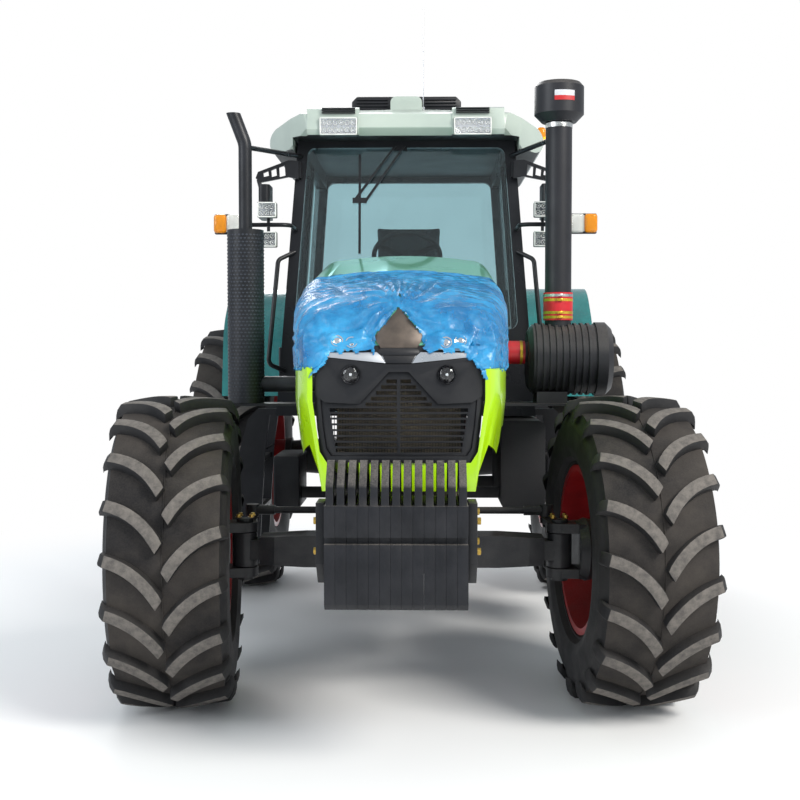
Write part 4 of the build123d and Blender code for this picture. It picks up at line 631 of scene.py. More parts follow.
# ---- Front weights
# Thirteen cast iron suitcase weights, each with its own grip, hung side by side on a bar. Their
# corners are rounded by the mould, dust lies on their tops, and the fronts are nearly clean.
weight_grey = (0.008, 0.009, 0.012, 1)
weight_worn = (0.017, 0.018, 0.022, 1)
weld = 0.00004          # points of a CAD mesh closer than this are one
weight_finish = finish_material("weight_casting", weight_grey, weight_worn, (0.30, 0.27, 0.24, 1),
                                roughness=0.42, dust=0.7, side_dust=0.02, patch=10.0, mottle=9.0,
                                grain=240.0, relief=0.0011, specular=0.25)
carrier_finish = finish_material("carrier_paint", (0.012, 0.013, 0.016, 1), (0.024, 0.025, 0.028, 1),
                                 roughness=0.4, dust=0.2, patch=8.0, mottle=6.0, relief=0.0006,
                                 specular=0.25)


def rounded_twin(name, finish, width, segments=2, angle=40, body="chassis"):
    """Put a CAD node's twin in its place, with its edges rounded as a mould or a press leaves them."""
    twin = copy_of(nodes[name], name + "_rounded")
    merge_points(twin, weld)
    bpy.ops.mesh.dissolve_limited(angle_limit=math.radians(3))
    close_piece()
    modify(twin, "BEVEL", width=width, segments=segments, limit_method="ANGLE",
           angle_limit=math.radians(angle), use_clamp_overlap=True)
    paint(twin, finish)
    smooth(twin, 42)
    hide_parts(name)
    hand_in(twin, body)
    return twin


rounded_twin("front_weights", weight_finish, 0.0032)
rounded_twin("weight_carrier", carrier_finish, 0.003)
low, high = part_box("weight_carrier")
bolts = [stand((mirrored * high.x, low.y + y, low.z + z), (mirrored, 0, 0))
         for mirrored in (1, -1) for y, z in ((0.12, 0.24), (0.12, 0.12), (0.25, 0.26), (0.25, 0.14))]
bolt_on("carrier_bolts", 0.030, 0.016, bolts, yellow_zinc)


# ---- Front frame, radiator, engine and transmission
# Black-sprayed castings down the middle of the tractor. The radiator's fins are bare aluminium,
# browned by dust, and the transmission and rear axle housing are one long casting.
fin_metal = finish_material("radiator_fins", (0.30, 0.25, 0.18, 1), (0.12, 0.10, 0.08, 1),
                            roughness=0.55, metallic=0.5, dust=0.3, mottle=8.0, grain=700.0, relief=0.003)
engine_grey = finish_material("engine_paint", (0.022, 0.024, 0.028, 1), (0.012, 0.013, 0.015, 1),
                              roughness=0.5, dust=0.4, patch=5.0, mottle=5.0, grain=150.0, relief=0.0014,
                              specular=0.3)
for name, width in (("front_frame", 0.006), ("engine_block", 0.02)):
    rounded_twin(name, engine_grey, width)
finish_node("transmission_housing drawbar", engine_grey)
finish_node("pto_stub", rod_chrome)
finish_node("radiator", fin_metal)
frame_low, frame_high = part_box("front_frame")
rail_side, rail_bolts_z = 0.2253, 1.02
bolts = [stand((mirrored * rail_side, y, rail_bolts_z), (mirrored, 0, 0)) for mirrored in (1, -1)
         for y in (frame_low.y + 0.12, frame_low.y + 0.30, frame_low.y + 0.48, frame_high.y - 0.06,
                   frame_high.y - 0.18)]
bolt_on("frame_bolts", 0.030, 0.016, bolts, zinc)


# ---- Nose
# Satin black mouldings: two arms that meet over a slotted grille, a round lamp in each arm, and
# two long headlamps above with a bronze shield, a nameless plate and two brushed strips between.
satin_black = (0.011, 0.012, 0.015, 1)
lime_green = (0.46, 0.80, 0.004, 1)
lime_shade = (0.37, 0.68, 0.002, 1)
bronze = (0.150, 0.120, 0.098, 1)
strip_silver = (0.70, 0.72, 0.75, 1)
face_rake = 0.41        # how far the nose leans back for each metre up
moulded_black = finish_material("satin_moulding", satin_black, (0.018, 0.019, 0.022, 1), roughness=0.33,
                                dust=0.16, patch=7.0, mottle=6.0, grain=620.0, relief=0.00035, specular=0.3)
lime_paint = finish_material("lime_paint", lime_green, lime_shade, roughness=0.3, coat=0.7,
                             coat_roughness=0.06, dust=0.1, mottle=1.6, grain=900.0, waves=40.0,
                             relief=0.00012)
bronze_paint = finish_material("bronze_shield", bronze, (0.10, 0.082, 0.070, 1), roughness=0.4,
                               metallic=0.65, dust=0.12, mottle=14.0, grain=800.0, relief=0.0003)
brushed = finish_material("brushed_strip", strip_silver, (0.55, 0.57, 0.60, 1), roughness=0.27,
                          metallic=0.9, dust=0.0, mottle=3.0, grain=160.0, relief=0.00003)
mirror_metal = finish_material("reflector", (0.86, 0.87, 0.88, 1), (0.74, 0.75, 0.77, 1),
                               roughness=0.09, spread=0.04, metallic=1.0, dust=0.0, grain=300.0,
                               relief=0.0001)


def clear_cover(name, tint, roughness=0.03, ripple=60.0, relief=0.0002, share=1.0):
    """Clear moulded plastic or glass, with the faint ripples that moulding leaves."""
    material, tree, shader = new_material(name, Roughness=roughness, Transmission_Weight=share, IOR=1.45)
    place = node(tree, "TexCoord")
    ripples = node(tree, "TexNoise", Scale=ripple, Detail=1.0)
    cloud = node(tree, "TexNoise", Scale=3.0, Detail=3.0)
    tone = two_tones(tree, tint, [min(1, c * 1.12) for c in tint[:3]] + [1])
    bump = node(tree, "Bump", Strength=1.0, Distance=relief)
    wire(tree, (place, "Object", ripples, "Vector"), (place, "Object", cloud, "Vector"),
         (cloud, "Fac", tone, 0), (tone, 2, shader, "Base Color"), (ripples, "Fac", bump, "Height"),
         (bump, 0, shader, "Normal"))
    return material


lamp_clear = clear_cover("lamp_cover", (0.92, 0.95, 0.97, 1))
smoked_lens = clear_cover("headlamp_cover", (0.30, 0.40, 0.50, 1), roughness=0.05, share=0.35)


def parts_of(name):
    """Boxes (low, high) of a CAD node's separate solids."""
    merge_points(copy_of(nodes[name], "part_finder"), weld)
    bpy.ops.mesh.separate(type="LOOSE")
    close_piece()
    found = []
    for one in list(bpy.context.selected_objects):
        corners = [vertex.co for vertex in one.data.vertices]
        found.append((Vector([min(c[i] for c in corners) for i in range(3)]),
                      Vector([max(c[i] for c in corners) for i in range(3)])))
        bpy.data.objects.remove(one)
    return found


for name, finish, width in (("nose_frame", moulded_black, 0.0035), ("grille", moulded_black, 0.0012)):
    rounded_twin(name, finish, width, body="bonnet")
smooth(rounded_twin("nose_panels", lime_paint, 0.002, body="bonnet"), 62)
dark_chrome = finish_material("dark_reflector", (0.13, 0.13, 0.14, 1), (0.08, 0.08, 0.09, 1), roughness=0.2,
                              metallic=1.0, dust=0.05, relief=0.0001)

trim = rounded_twin("nose_trim", bronze_paint, 0.0016, body="bonnet")
paint(trim, bronze_paint, moulded_black, brushed)
trim_parts = sorted(parts_of("nose_trim"), key=lambda part: -(part[0].z + part[1].z))
trim_kinds = {}
for low, high in trim_parts:
    middle = (low + high) / 2
    kind = 2 if abs(middle.x) > 0.05 else 0 if high.z > 1.8 else 1
    trim_kinds[(round(low.x, 3), round(low.z, 3))] = (low, high, kind)
for face in trim.data.polygons:
    for low, high, kind in trim_kinds.values():
        c = face.center
        if low.x - 0.001 <= c.x <= high.x + 0.001 and low.z - 0.001 <= c.z <= high.z + 0.001:
            if kind == 2 and abs(c.x) < 0.088 and c.z > 1.655 and c.z > 1.62 + (0.09 - abs(c.x)):
                continue
            face.material_index = kind
            break

bowl_outline = [(0.050, 0.0), (0.046, 0.014), (0.032, 0.026), (0.006, 0.034), (-0.004, 0.036),
                (-0.008, 0.0375), (0.002, 0.0378), (0.060, 0.0378)]
bulb_outline = [(0.012, 0.0), (0.015, 0.006), (0.024, 0.009), (0.046, 0.009)]
lens_outline = [(-0.010, 0.0), (-0.009, 0.015), (-0.005, 0.028), (0.0, 0.0335), (0.004, 0.0335),
                (-0.001, 0.028), (-0.005, 0.015), (-0.006, 0.0)]
eye_outline = [(0.0, 0.026), (0.004, 0.025), (0.003, 0.021), (-0.002, 0.018), (0.006, 0.012), (0.009, 0.0)]
round_lamps = [part for part in parts_of("nose_lamps") if part[1].x - part[0].x < 0.1]
headlamps = [part for part in parts_of("nose_lamps") if part[1].x - part[0].x > 0.1]
bright_pieces = []
for number, (low, high) in enumerate(sorted(round_lamps, key=lambda part: part[0].x)):
    centre = Vector(((low.x + high.x) / 2, low.y, (low.z + high.z) / 2))
    bowl = turn_profile("bowl", bowl_outline, 40, centre, (0, 1, 0))
    bulb = turn_profile("bulb", bulb_outline, 20, centre, (0, 1, 0))
    paint(bowl, dark_chrome)
    paint(bulb, mirror_metal)
    bright_pieces += [bowl, bulb]
    lens = turn_profile(f"round_lamp_lens_{number + 1}", lens_outline, 40, centre, (0, 1, 0))
    paint(lens, lamp_clear)
    smooth(lens, 40)
    hand_in(lens, "bonnet")
reflectors = join(bright_pieces, "round_lamp_reflectors")
smooth(reflectors, 40)
hand_in(reflectors, "bonnet")

# the headlamps: a dark housing with two projector eyes under a smoked cover
covers = rounded_twin("nose_lamps", smoked_lens, 0.004, body="bonnet")
open_piece(covers, "FACE")
pick(covers, "polygons", lambda point: point.z < 1.63)
bpy.ops.mesh.delete(type="FACE")
close_piece()
eyes = []
for low, high in headlamps:
    inner, outer = (low.x, high.x) if low.x > 0 else (high.x, low.x)
    for across, up in ((0.42, 0.44), (0.70, 0.52)):
        rise = (high.z - low.z) * up
        point = (inner + (outer - inner) * across, low.y + rise * face_rake - 0.003, low.z + rise)
        eyes.append(stand(point, (0, -1, face_rake)))
eye = turn_profile("eye", eye_outline, 28, axis=(0, 0, 1))
projectors = set_out(eye, eyes, "headlamp_projectors", mirror_metal)
hand_in(projectors, "bonnet")

# upright wires behind the grille's slots
low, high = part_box("grille")
places = []
for n in range(-26, 27):
    x = n * 0.0118
    if abs(x) > 0.006:
        bottom, top = 1.245 + max(0, abs(x) - 0.25) * 0.5, 1.475 if abs(x) > 0.15 else 1.56 - abs(x) * 0.55
        y = low.y + 0.036 + 0.045 * (x / 0.4) ** 2
        stretch = Matrix.Diagonal((1, 1, top - bottom, 1))
        places.append(Matrix.Translation((x, y, (bottom + top) / 2)) @ stretch)
screen = set_out(rod(6, 0.0016, 1.0), places, "grille_wires", moulded_black)
hand_in(screen, "bonnet")


# ---- Bonnet
# Pressed steel, painted mint green with a clear coat, hinged at the cab. The maker's blue film
# still lies over its front: thin soft plastic, wrinkled, cut round the shield and hanging in folds.
mint = (0.150, 0.560, 0.335, 1)
mint_shade = (0.118, 0.470, 0.280, 1)
mint_paint = finish_material("mint_paint", mint, mint_shade, roughness=0.28, coat=0.7, coat_roughness=0.05,
                             dust=0.14, mottle=1.2, grain=900.0, waves=30.0, relief=0.00012)
finish_node("bonnet_skin", mint_paint)

film_size = (1.50, 1.24)
film_step = 0.0165
fall_frames, quick_frames = 44, 30
film_deep = (0.004, 0.180, 0.480, 1)
film_pale = (0.045, 0.430, 0.800, 1)
rear_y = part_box("bonnet_film")[1].y
skin_low, skin_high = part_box("bonnet_skin")

film_material, tree, shader = new_material(
    "blue_film", Roughness=0.24, Coat_Weight=0.5, Coat_Roughness=0.08)
place = node(tree, "TexCoord")
cloud = node(tree, "TexNoise", Scale=5.0, Detail=6.0, Roughness=0.65)
tone = two_tones(tree, film_deep, film_pale)
spread = node(tree, "MapRange", From_Min=0.35, From_Max=0.65)
clear = node(tree, "MapRange", From_Min=0.35, From_Max=0.7, To_Min=0.58, To_Max=0.86)
creases = node(tree, "TexNoise", Scale=26.0, Detail=5.0, Roughness=0.6, Distortion=1.2)
fold = node(tree, "Math", operation="SUBTRACT")
fold.inputs[1].default_value = 0.5
ridge = node(tree, "Math", operation="ABSOLUTE")
bump = node(tree, "Bump", Strength=0.9, Distance=0.010)
wire(tree, (place, "Object", cloud, "Vector"), (place, "Object", creases, "Vector"),
     (cloud, "Fac", spread, "Value"), (spread, 0, tone, 0), (tone, 2, shader, "Base Color"),
     (cloud, "Fac", clear, "Value"), (clear, 0, shader, "Alpha"), (creases, "Fac", fold, 0),
     (fold, 0, ridge, 0), (ridge, 0, bump, "Height"), (bump, 0, shader, "Normal"))

# it starts as a flat sheet over the bonnet, falls on a copy of it, and is held along its rear edge
slope = 0.185
columns, rows = round(film_size[0] / film_step), round(film_size[1] / film_step)
bpy.ops.mesh.primitive_grid_add(x_subdivisions=columns, y_subdivisions=rows, size=1)
film = bpy.context.object
film.name = "bonnet_film_sheet"
film.scale = (film_size[0], film_size[1], 1)
settle(film)
for vertex in film.data.vertices:
    along = film_size[1] / 2 - vertex.co.y
    crown = skin_high.z - 0.155 - slope * along
    vertex.co = Vector((vertex.co.x, rear_y - along * 0.985, crown + 0.03))
rest = copy_of(nodes["bonnet_skin"], "film_rest")
for name in ("nose_frame", "nose_lamps", "nose_trim"):
    rest = join([rest, copy_of(nodes[name], "film_rest_extra")], "film_rest")
merge_points(rest, 0.0001)
close_piece()
rest.modifiers.new("collision", "COLLISION")
rest.collision.thickness_outer = 0.004
rest.collision.cloth_friction = 12
held = film.vertex_groups.new(name="held")
held.add([v.index for v in film.data.vertices
          if v.co.y > rear_y - film_step * 1.5 and abs(v.co.x) < 0.42], 1.0, "REPLACE")
cloth = film.modifiers.new("cloth", "CLOTH")
for key, value in {"quality": 5, "mass": 0.12, "tension_stiffness": 12, "compression_stiffness": 12,
                   "shear_stiffness": 4, "bending_stiffness": 0.08, "vertex_group_mass": "held"}.items():
    setattr(cloth.settings, key, value)
cloth.collision_settings.distance_min = 0.004
cloth.collision_settings.collision_quality = 3
cloth.point_cache.frame_end = fall_frames
for step in range(1, fall_frames + 1):
    bpy.context.scene.frame_set(step)
alone(film)
bpy.ops.object.modifier_apply(modifier="cloth")
bpy.context.scene.frame_set(1)
bpy.context.view_layer.update()


def ramp(value, start, length):
    """0 up to start, then rising evenly to 1 over a length, which may be negative."""
    return min(1.0, max(0.0, (value - start) / length))


def lay_outside(piece, clearance):
    """Bring the film's points out of the skin, and keep them near it."""
    for vertex in piece.data.vertices:
        c = vertex.co
        core = Vector((0, max(c.y, skin_low.y + 0.30), 1.50))
        away = c - core
        ray = away.normalized()
        met, point = rest.ray_cast(core + ray * 1.6, -ray)[:2]
        if met:
            gap = (point - core).length
            loose = 0.014 + 0.055 * ramp(c.y, skin_low.y + 0.32, -0.2)
            vertex.co = core + ray * min(max(away.length, gap + clearance), gap + loose)


lay_outside(film, 0.004)
modify(film, "SUBSURF", levels=1, render_levels=1)

# the cut round the shield, and the torn lower edges beside it
shield_top = max(high.z for low, high, kind in trim_kinds.values() if kind == 0)


def inside_cut(point):
    half = 0.101 * ramp(point.z, shield_top + 0.004, -0.128) + 0.003 * math.sin(point.z * 90)
    return point.y < skin_low.y + 0.34 and abs(point.x) < half


def below_edge(point):
    side_edge = 1.555 + 0.016 * math.sin(point.y * 23) + 0.010 * math.sin(point.y * 61)
    front_edge = (1.674 - 0.11 * ramp(abs(point.x), 0.27, 0.09)
                  + 0.008 * math.sin(point.x * 83) + 0.005 * math.sin(point.x * 190))
    return point.z < side_edge or (point.y < skin_low.y + 0.24 and point.z < front_edge)


open_piece(film, "FACE")
for test in (inside_cut, below_edge):
    pick(film, "polygons", test)
    bpy.ops.mesh.delete(type="FACE")
close_piece()

# small wrinkles: two crossing sets, folds that hang at the front, and gathers above the shield
normals = [vertex.normal.copy() for vertex in film.data.vertices]
for vertex, normal in zip(film.data.vertices, normals):
    c = vertex.co
    spread = Vector((c.x, 0, c.z - shield_top - 0.02))
    turn = math.atan2(spread.z, spread.x)
    gather = math.exp(-(spread.length / 0.30) ** 2) * ramp(c.y, skin_low.y + 0.55, -0.2)
    push = 0.0025 * math.sin(c.x * 61 + 9 * math.sin(c.y * 17)) * math.sin(c.y * 43 + c.x * 21)
    push += 0.0030 * math.sin(c.x * 23 - c.y * 87 + 4 * math.sin(c.x * 11 + c.y * 7))
    hang = math.sin(abs(c.x) * 37 + c.z * 71 + 3 * math.sin(c.z * 29))
    push += 0.0045 * hang * ramp(c.z, 1.80, -0.06)
    push += 0.0105 * gather * math.sin(turn * 19 + 2.5 * math.sin(spread.length * 21))
    vertex.co = c + normal * push
lay_outside(film, 0.0025)
bpy.data.objects.remove(rest)
paint(film, film_material)
modify(film, "SOLIDIFY", thickness=0.0006, offset=1.0)
smooth(film, 80)
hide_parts("bonnet_film")
hand_in(film, "bonnet")


# ---- Exhaust and air intake
# A black-sprayed muffler and tailpipe in a punched guard stand on one side, and on the other a
# moulded air cleaner with its intake pipe, two red silicone hoses and worm-drive clamps. The plate
# on the intake's bowl is blank.
soot_black = (0.010, 0.011, 0.014, 1)
hose_red = (0.62, 0.012, 0.022, 1)
pipe_paint = finish_material("heat_paint", soot_black, (0.022, 0.024, 0.03, 1), roughness=0.36,
                             dust=0.14, mottle=7.0, grain=420.0, relief=0.0005, specular=0.3)
filter_plastic = finish_material("filter_plastic", (0.013, 0.014, 0.018, 1), (0.02, 0.021, 0.026, 1),
                                 roughness=0.4, dust=0.3, mottle=5.0, grain=500.0, relief=0.0004,
                                 specular=0.3)
silicone = finish_material("silicone_hose", hose_red, (0.45, 0.008, 0.014, 1), roughness=0.36, dust=0.15,
                           mottle=12.0, grain=700.0, relief=0.0004)
band_steel = finish_material("band_steel", (0.66, 0.66, 0.64, 1), (0.5, 0.5, 0.49, 1), roughness=0.28,
                             metallic=1.0, dust=0.1, mottle=30.0, relief=0.0002)
clamp_yellow = finish_material("yellow_clamp", (0.75, 0.50, 0.05, 1), (0.55, 0.36, 0.04, 1),
                               roughness=0.36, metallic=0.8, dust=0.1, mottle=30.0, relief=0.0002)
finish_node("exhaust_stack", pipe_paint)
finish_node("intake_stack air_cleaner", filter_plastic)
finish_node("intake_hoses", silicone)
guard_low, guard_high = min(parts_of("exhaust_stack"), key=lambda part: part[1].z - part[0].z)
guard_mid = (guard_low + guard_high) / 2
guard_radius = (guard_high.x - guard_low.x) / 2

# the guard's punched rows, as raised lips; their lighter, bluer colour is a painted highlight
punch_rows, punch_around, punch_margin = 46, 30, 0.03
dimple = rod(6, 0.0042, 0.0026)
dimple.scale = (1.9, 1, 1)
settle(dimple)
punched_height = guard_high.z - guard_low.z - 2 * punch_margin
places = []
for row in range(punch_rows):
    z = guard_low.z + punch_margin + row * punched_height / (punch_rows - 1)
    for n in range(punch_around):
        a = 2 * math.pi * (n + 0.5 * (row % 2)) / punch_around
        out = Vector((math.cos(a), math.sin(a), 0))
        turned = Matrix((Vector((-out.y, out.x, 0)), Vector((0, 0, 1)), out)).transposed().to_4x4()
        point = Vector((guard_mid.x, guard_mid.y, z)) + out * (guard_radius + 0.0006)
        places.append(Matrix.Translation(point) @ turned)
# Painted highlight: the lips are coloured lighter and bluer than the guard's black heat paint, to show the
# shine along the punched rows.
lip_painted_highlight = finish_material("punched_lips_painted_highlight", (0.030, 0.036, 0.050, 1), (0.016, 0.019, 0.028, 1),
                              roughness=0.5, dust=0.05, relief=0.0003)
lips = set_out(dimple, places, "guard_punchings", lip_painted_highlight)
hand_in(lips)


def block(centre, size, tilt=0.0):
    """A plain box round a point, tilted forwards about X."""
    bpy.ops.mesh.primitive_cube_add(size=1, location=centre, rotation=(tilt, 0, 0))
    piece = bpy.context.object
    piece.scale = size
    return settle(piece)


def pipe_clamp(name, centre, radius, axis, finish, width=0.014):
    """A worm-drive band with its screw housing."""
    inner, outer, half = radius - 0.002, radius + 0.0012, width / 2
    outline = [(-half, inner), (-half, outer), (half, outer), (half, inner)]
    band = turn_profile(name, outline, 40, centre, axis, closed=True)
    side = Vector(axis).cross(Vector((0, 1, 0))).normalized()
    across = [abs(c) * 0.030 + 0.014 * (1 - abs(c)) for c in side]
    housing = block(Vector(centre) - Vector((0, radius + 0.006, 0)), (across[0], 0.013, across[2]))
    modify(housing, "BEVEL", width=0.003, segments=2)
    piece = join([band, housing], name)
    paint(piece, finish)
    smooth(piece, 35)
    hand_in(piece)


hoses = sorted(parts_of("intake_hoses"), key=lambda part: part[1].z)
elbow_low, elbow_high = hoses[0]
sleeve_low, sleeve_high = hoses[-1]
sleeve = (sleeve_low + sleeve_high) / 2
sleeve_radius = (sleeve_high.x - sleeve_low.x) / 2
sleeve_clamps = ((sleeve_low.z + 0.016, clamp_yellow), (sleeve_low.z + 0.040, clamp_yellow),
                 (sleeve_high.z - 0.040, clamp_yellow), (sleeve_high.z - 0.016, band_steel))
for number, (z, finish) in enumerate(sleeve_clamps):
    pipe_clamp(f"sleeve_clamp_{number + 1}", (sleeve.x, sleeve.y, z), sleeve_radius, (0, 0, 1), finish)
elbow = (elbow_low + elbow_high) / 2
elbow_radius = (elbow_high.z - elbow_low.z) / 2
for number, x in enumerate((elbow_low.x + 0.02, elbow_high.x - 0.02)):
    pipe_clamp(f"elbow_clamp_{number + 1}", (x, elbow.y, elbow.z), elbow_radius, (1, 0, 0), clamp_yellow)
intake_low, intake_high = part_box("intake_stack")
intake = (intake_low + intake_high) / 2
pipe_clamp("intake_top_clamp", (intake.x, intake.y, 2.866), 0.0705, (0, 0, 1), band_steel, width=0.024)

bowl_radius, plate_z, plate_split = 0.1322, 3.005, 3.003
bpy.ops.mesh.primitive_plane_add(size=1, location=(intake.x + 0.015, intake.y - bowl_radius, plate_z),
                                 rotation=(math.pi / 2, 0, 0))
blank = bpy.context.object
blank.scale = (0.105, 0.052, 1)
settle(blank)
plate_red = finish_material("blank_red_plate", (0.55, 0.02, 0.02, 1), (0.45, 0.015, 0.02, 1),
                            roughness=0.4, dust=0.1, relief=0.0001)
plate_white = finish_material("blank_white_plate", (0.66, 0.67, 0.70, 1), (0.5, 0.5, 0.53, 1),
                              roughness=0.4, dust=0.1, relief=0.0001)
open_piece(blank, "FACE")
bpy.ops.mesh.select_all(action="SELECT")
bpy.ops.mesh.subdivide(number_cuts=8)
close_piece()
for vertex in blank.data.vertices:
    vertex.co.y = intake.y - math.sqrt(bowl_radius ** 2 - (vertex.co.x - intake.x) ** 2)
blank.name = "intake_blank_plate"
modify(blank, "SOLIDIFY", thickness=0.001, offset=0)
paint(blank, plate_red, plate_white)
for face in blank.data.polygons:
    face.material_index = 1 if face.center.z > plate_split else 0
smooth(blank, 40)
hand_in(blank)


# ---- Tank, battery box and cab steps
# The fuel tank is blow-moulded black plastic, the battery box is folded sheet, and each ladder's
# treads carry rows of raised rings for grip.
tank_plastic = finish_material("tank_plastic", (0.012, 0.013, 0.016, 1), (0.02, 0.021, 0.025, 1),
                               roughness=0.5, dust=0.5, mottle=4.0, grain=380.0, relief=0.0012)
chassis_black = finish_material("chassis_black", (0.011, 0.012, 0.015, 1), (0.021, 0.022, 0.026, 1),
                                roughness=0.38, dust=0.3, mottle=6.0, relief=0.0006, specular=0.3)
rounded_twin("fuel_tank", tank_plastic, 0.012)
rounded_twin("toolbox", chassis_black, 0.006)
finish_node("cab_steps engine_brackets", chassis_black)
tread_levels = (0.46, 0.75, 1.04)       # roughly; each tread's own top is found near its level
stud_pitch, stud_rows, stud_columns = 0.042, 9, 4
treads = []
for side in (1, -1):
    low, high = [part for part in parts_of("cab_steps") if (part[0].x > 0) == (side > 0)][0]
    middle_y = (low.y + high.y) / 2
    for z in tread_levels:
        near = [v.co for v in nodes["cab_steps"].data.vertices
                if v.co.x * side > 0 and abs(v.co.z - z) < 0.075]
        if near:
            top = max(c.z for c in near)
            xs = [c.x for c in near if c.z > top - 0.004]
            for i in range(stud_columns):
                x = min(xs) + (max(xs) - min(xs)) * (i + 0.5) / stud_columns
                treads += [stand((x, middle_y + (j - stud_rows // 2) * stud_pitch, top), (0, 0, 1))
                           for j in range(stud_rows)]
if treads:
    stud_outline = [(0.0, 0.011), (0.004, 0.009), (0.004, 0.006), (0.0, 0.005)]
    stud = turn_profile("stud", stud_outline, 8, axis=(0, 0, 1))
    studs = set_out(stud, treads, "tread_studs", chassis_black)
    hand_in(studs)


# ---- Cab
# A welded frame of black-sprayed tube with tinted glass, two hung doors with bar handles, a rubber
# mat on a flat floor, and the wiper's arm across the windscreen.
cab_black = finish_material("cab_frame_paint", (0.010, 0.011, 0.014, 1), (0.019, 0.020, 0.024, 1),
                            roughness=0.3, dust=0.1, mottle=4.0, relief=0.0003, specular=0.3)
floor_mat = finish_material("floor_mat", (0.02, 0.02, 0.022, 1), (0.035, 0.034, 0.035, 1), roughness=0.8,
                            dust=0.5, mottle=9.0, grain=260.0, relief=0.002)
tinted_glass = clear_cover("tinted_glass", (0.50, 0.65, 0.68, 1), roughness=0.0, ripple=1.2, relief=0.00005)
finish_node("cab_frame left_door_frame right_door_frame lamp_brackets", cab_black)
finish_node("mirrors wiper", moulded_black)
finish_node("cab_floor", floor_mat)
finish_node("cab_glass left_door_glass right_door_glass", tinted_glass)

grip_z, grip_length = 1.62, 0.15
for side, mirrored in (("left", 1), ("right", -1)):
    low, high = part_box(f"{side}_door_frame")
    outer = high.x if mirrored > 0 else low.x
    grip = Vector((outer - mirrored * 0.020, low.y + 0.07, grip_z))
    bars = [rod(16, 0.011, grip_length, grip)]
    for z in (-0.066, 0.066):
        bars.append(rod(12, 0.009, 0.05, grip + Vector((-mirrored * 0.022, 0, z)), (0, math.pi / 2, 0)))
    handle = join(bars, f"{side}_door_handle")
    modify(handle, "BEVEL", width=0.002, segments=2, limit_method="ANGLE")
    paint(handle, moulded_black)
    smooth(handle, 35)
    hand_in(handle, f"{side}_door")


# ---- Seat, controls and instruments
# A sprung seat with a grey cloth cushion and back, sewn in panels over foam; a moulded dashboard
# on its column; and a three-spoke wheel with a soft rim.
seam_width, seam_depth = 0.007, 0.009
seat_cloth, tree, shader = new_material("seat_cloth", Roughness=0.88, Sheen_Weight=0.25)
place = node(tree, "TexCoord")
warp = node(tree, "TexWave", Scale=190.0, Distortion=0.6, bands_direction="X")
weft = node(tree, "TexWave", Scale=190.0, Distortion=0.6, bands_direction="Y")
weave = node(tree, "Math", operation="MULTIPLY")
soft = node(tree, "TexNoise", Scale=9.0, Detail=4.0)
tone = two_tones(tree, (0.018, 0.020, 0.024, 1), (0.060, 0.064, 0.072, 1))
bump = node(tree, "Bump", Strength=0.8, Distance=0.0012)
for wave in (warp, weft):
    wire(tree, (place, "Object", wave, "Vector"))
wire(tree, (place, "Object", soft, "Vector"), (warp, "Fac", weave, 0), (weft, "Fac", weave, 1),
     (soft, "Fac", tone, 0), (tone, 2, shader, "Base Color"), (weave, 0, bump, "Height"),
     (bump, 0, shader, "Normal"))


def stuffed(name, inset=0.010, cap=0.020):
    """Foam pad in the space of a CAD cushion: shrunk, blown up as cloth, then rounded off."""
    pad = copy_of(nodes[name], name + "_padded")
    merge_points(pad, 0.0001)
    bpy.ops.mesh.normals_make_consistent(inside=False)
    bpy.ops.transform.shrink_fatten(value=-inset)
    close_piece()
    modify(pad, "REMESH", mode="VOXEL", voxel_size=0.008)
    start = [vertex.co.copy() for vertex in pad.data.vertices]
    blow = pad.modifiers.new("cloth", "CLOTH")
    blow.settings.use_pressure = True
    blow.settings.uniform_pressure_force = 4.0
    blow.settings.effector_weights.gravity = 0.0
    blow.settings.tension_stiffness = 8
    for step in range(1, 21):
        bpy.context.scene.frame_set(step)
    alone(pad)
    bpy.ops.object.modifier_apply(modifier="cloth")
    bpy.context.scene.frame_set(1)
    for vertex, home in zip(pad.data.vertices, start):
        moved = vertex.co - home
        if moved.length > cap:
            vertex.co = home + moved * (cap / moved.length)
    modify(pad, "SUBSURF", levels=1, render_levels=1)
    return pad


def seam(off):
    """How deep a seam is pulled in at a distance from its line."""
    return math.exp(-(off / seam_width) ** 2)


low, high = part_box("seat_cushion")
cushion = stuffed("seat_cushion")
middle = (low + high) / 2
for vertex in cushion.data.vertices:
    off = vertex.co - middle
    if off.z > 0:
        crossing = seam(off.y) if abs(off.x) < 0.125 else 0
        vertex.co.z -= seam_depth * min(1, seam(abs(off.x) - 0.125) + crossing)
low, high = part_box("seat_backrest")
backrest = stuffed("seat_backrest")
middle = (low + high) / 2
normals = [vertex.normal.copy() for vertex in backrest.data.vertices]
for vertex, normal in zip(backrest.data.vertices, normals):
    off = vertex.co - middle
    if normal.y < -0.4:
        vertex.co.y += seam_depth * min(1, seam(abs(off.x) - 0.12) + seam(off.z - 0.05))
for pad, name in ((cushion, "seat_cushion"), (backrest, "seat_backrest")):
    paint(pad, seat_cloth)
    smooth(pad, 60)
    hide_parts(name)
    hand_in(pad)
soft_grip = finish_material("wheel_rim_grip", (0.012, 0.012, 0.013, 1), (0.018, 0.018, 0.02, 1),
                            roughness=0.5, dust=0.05, grain=700.0, relief=0.0006)
finish_node("steering_wheel", soft_grip)
finish_node("seat_base dashboard", moulded_black)


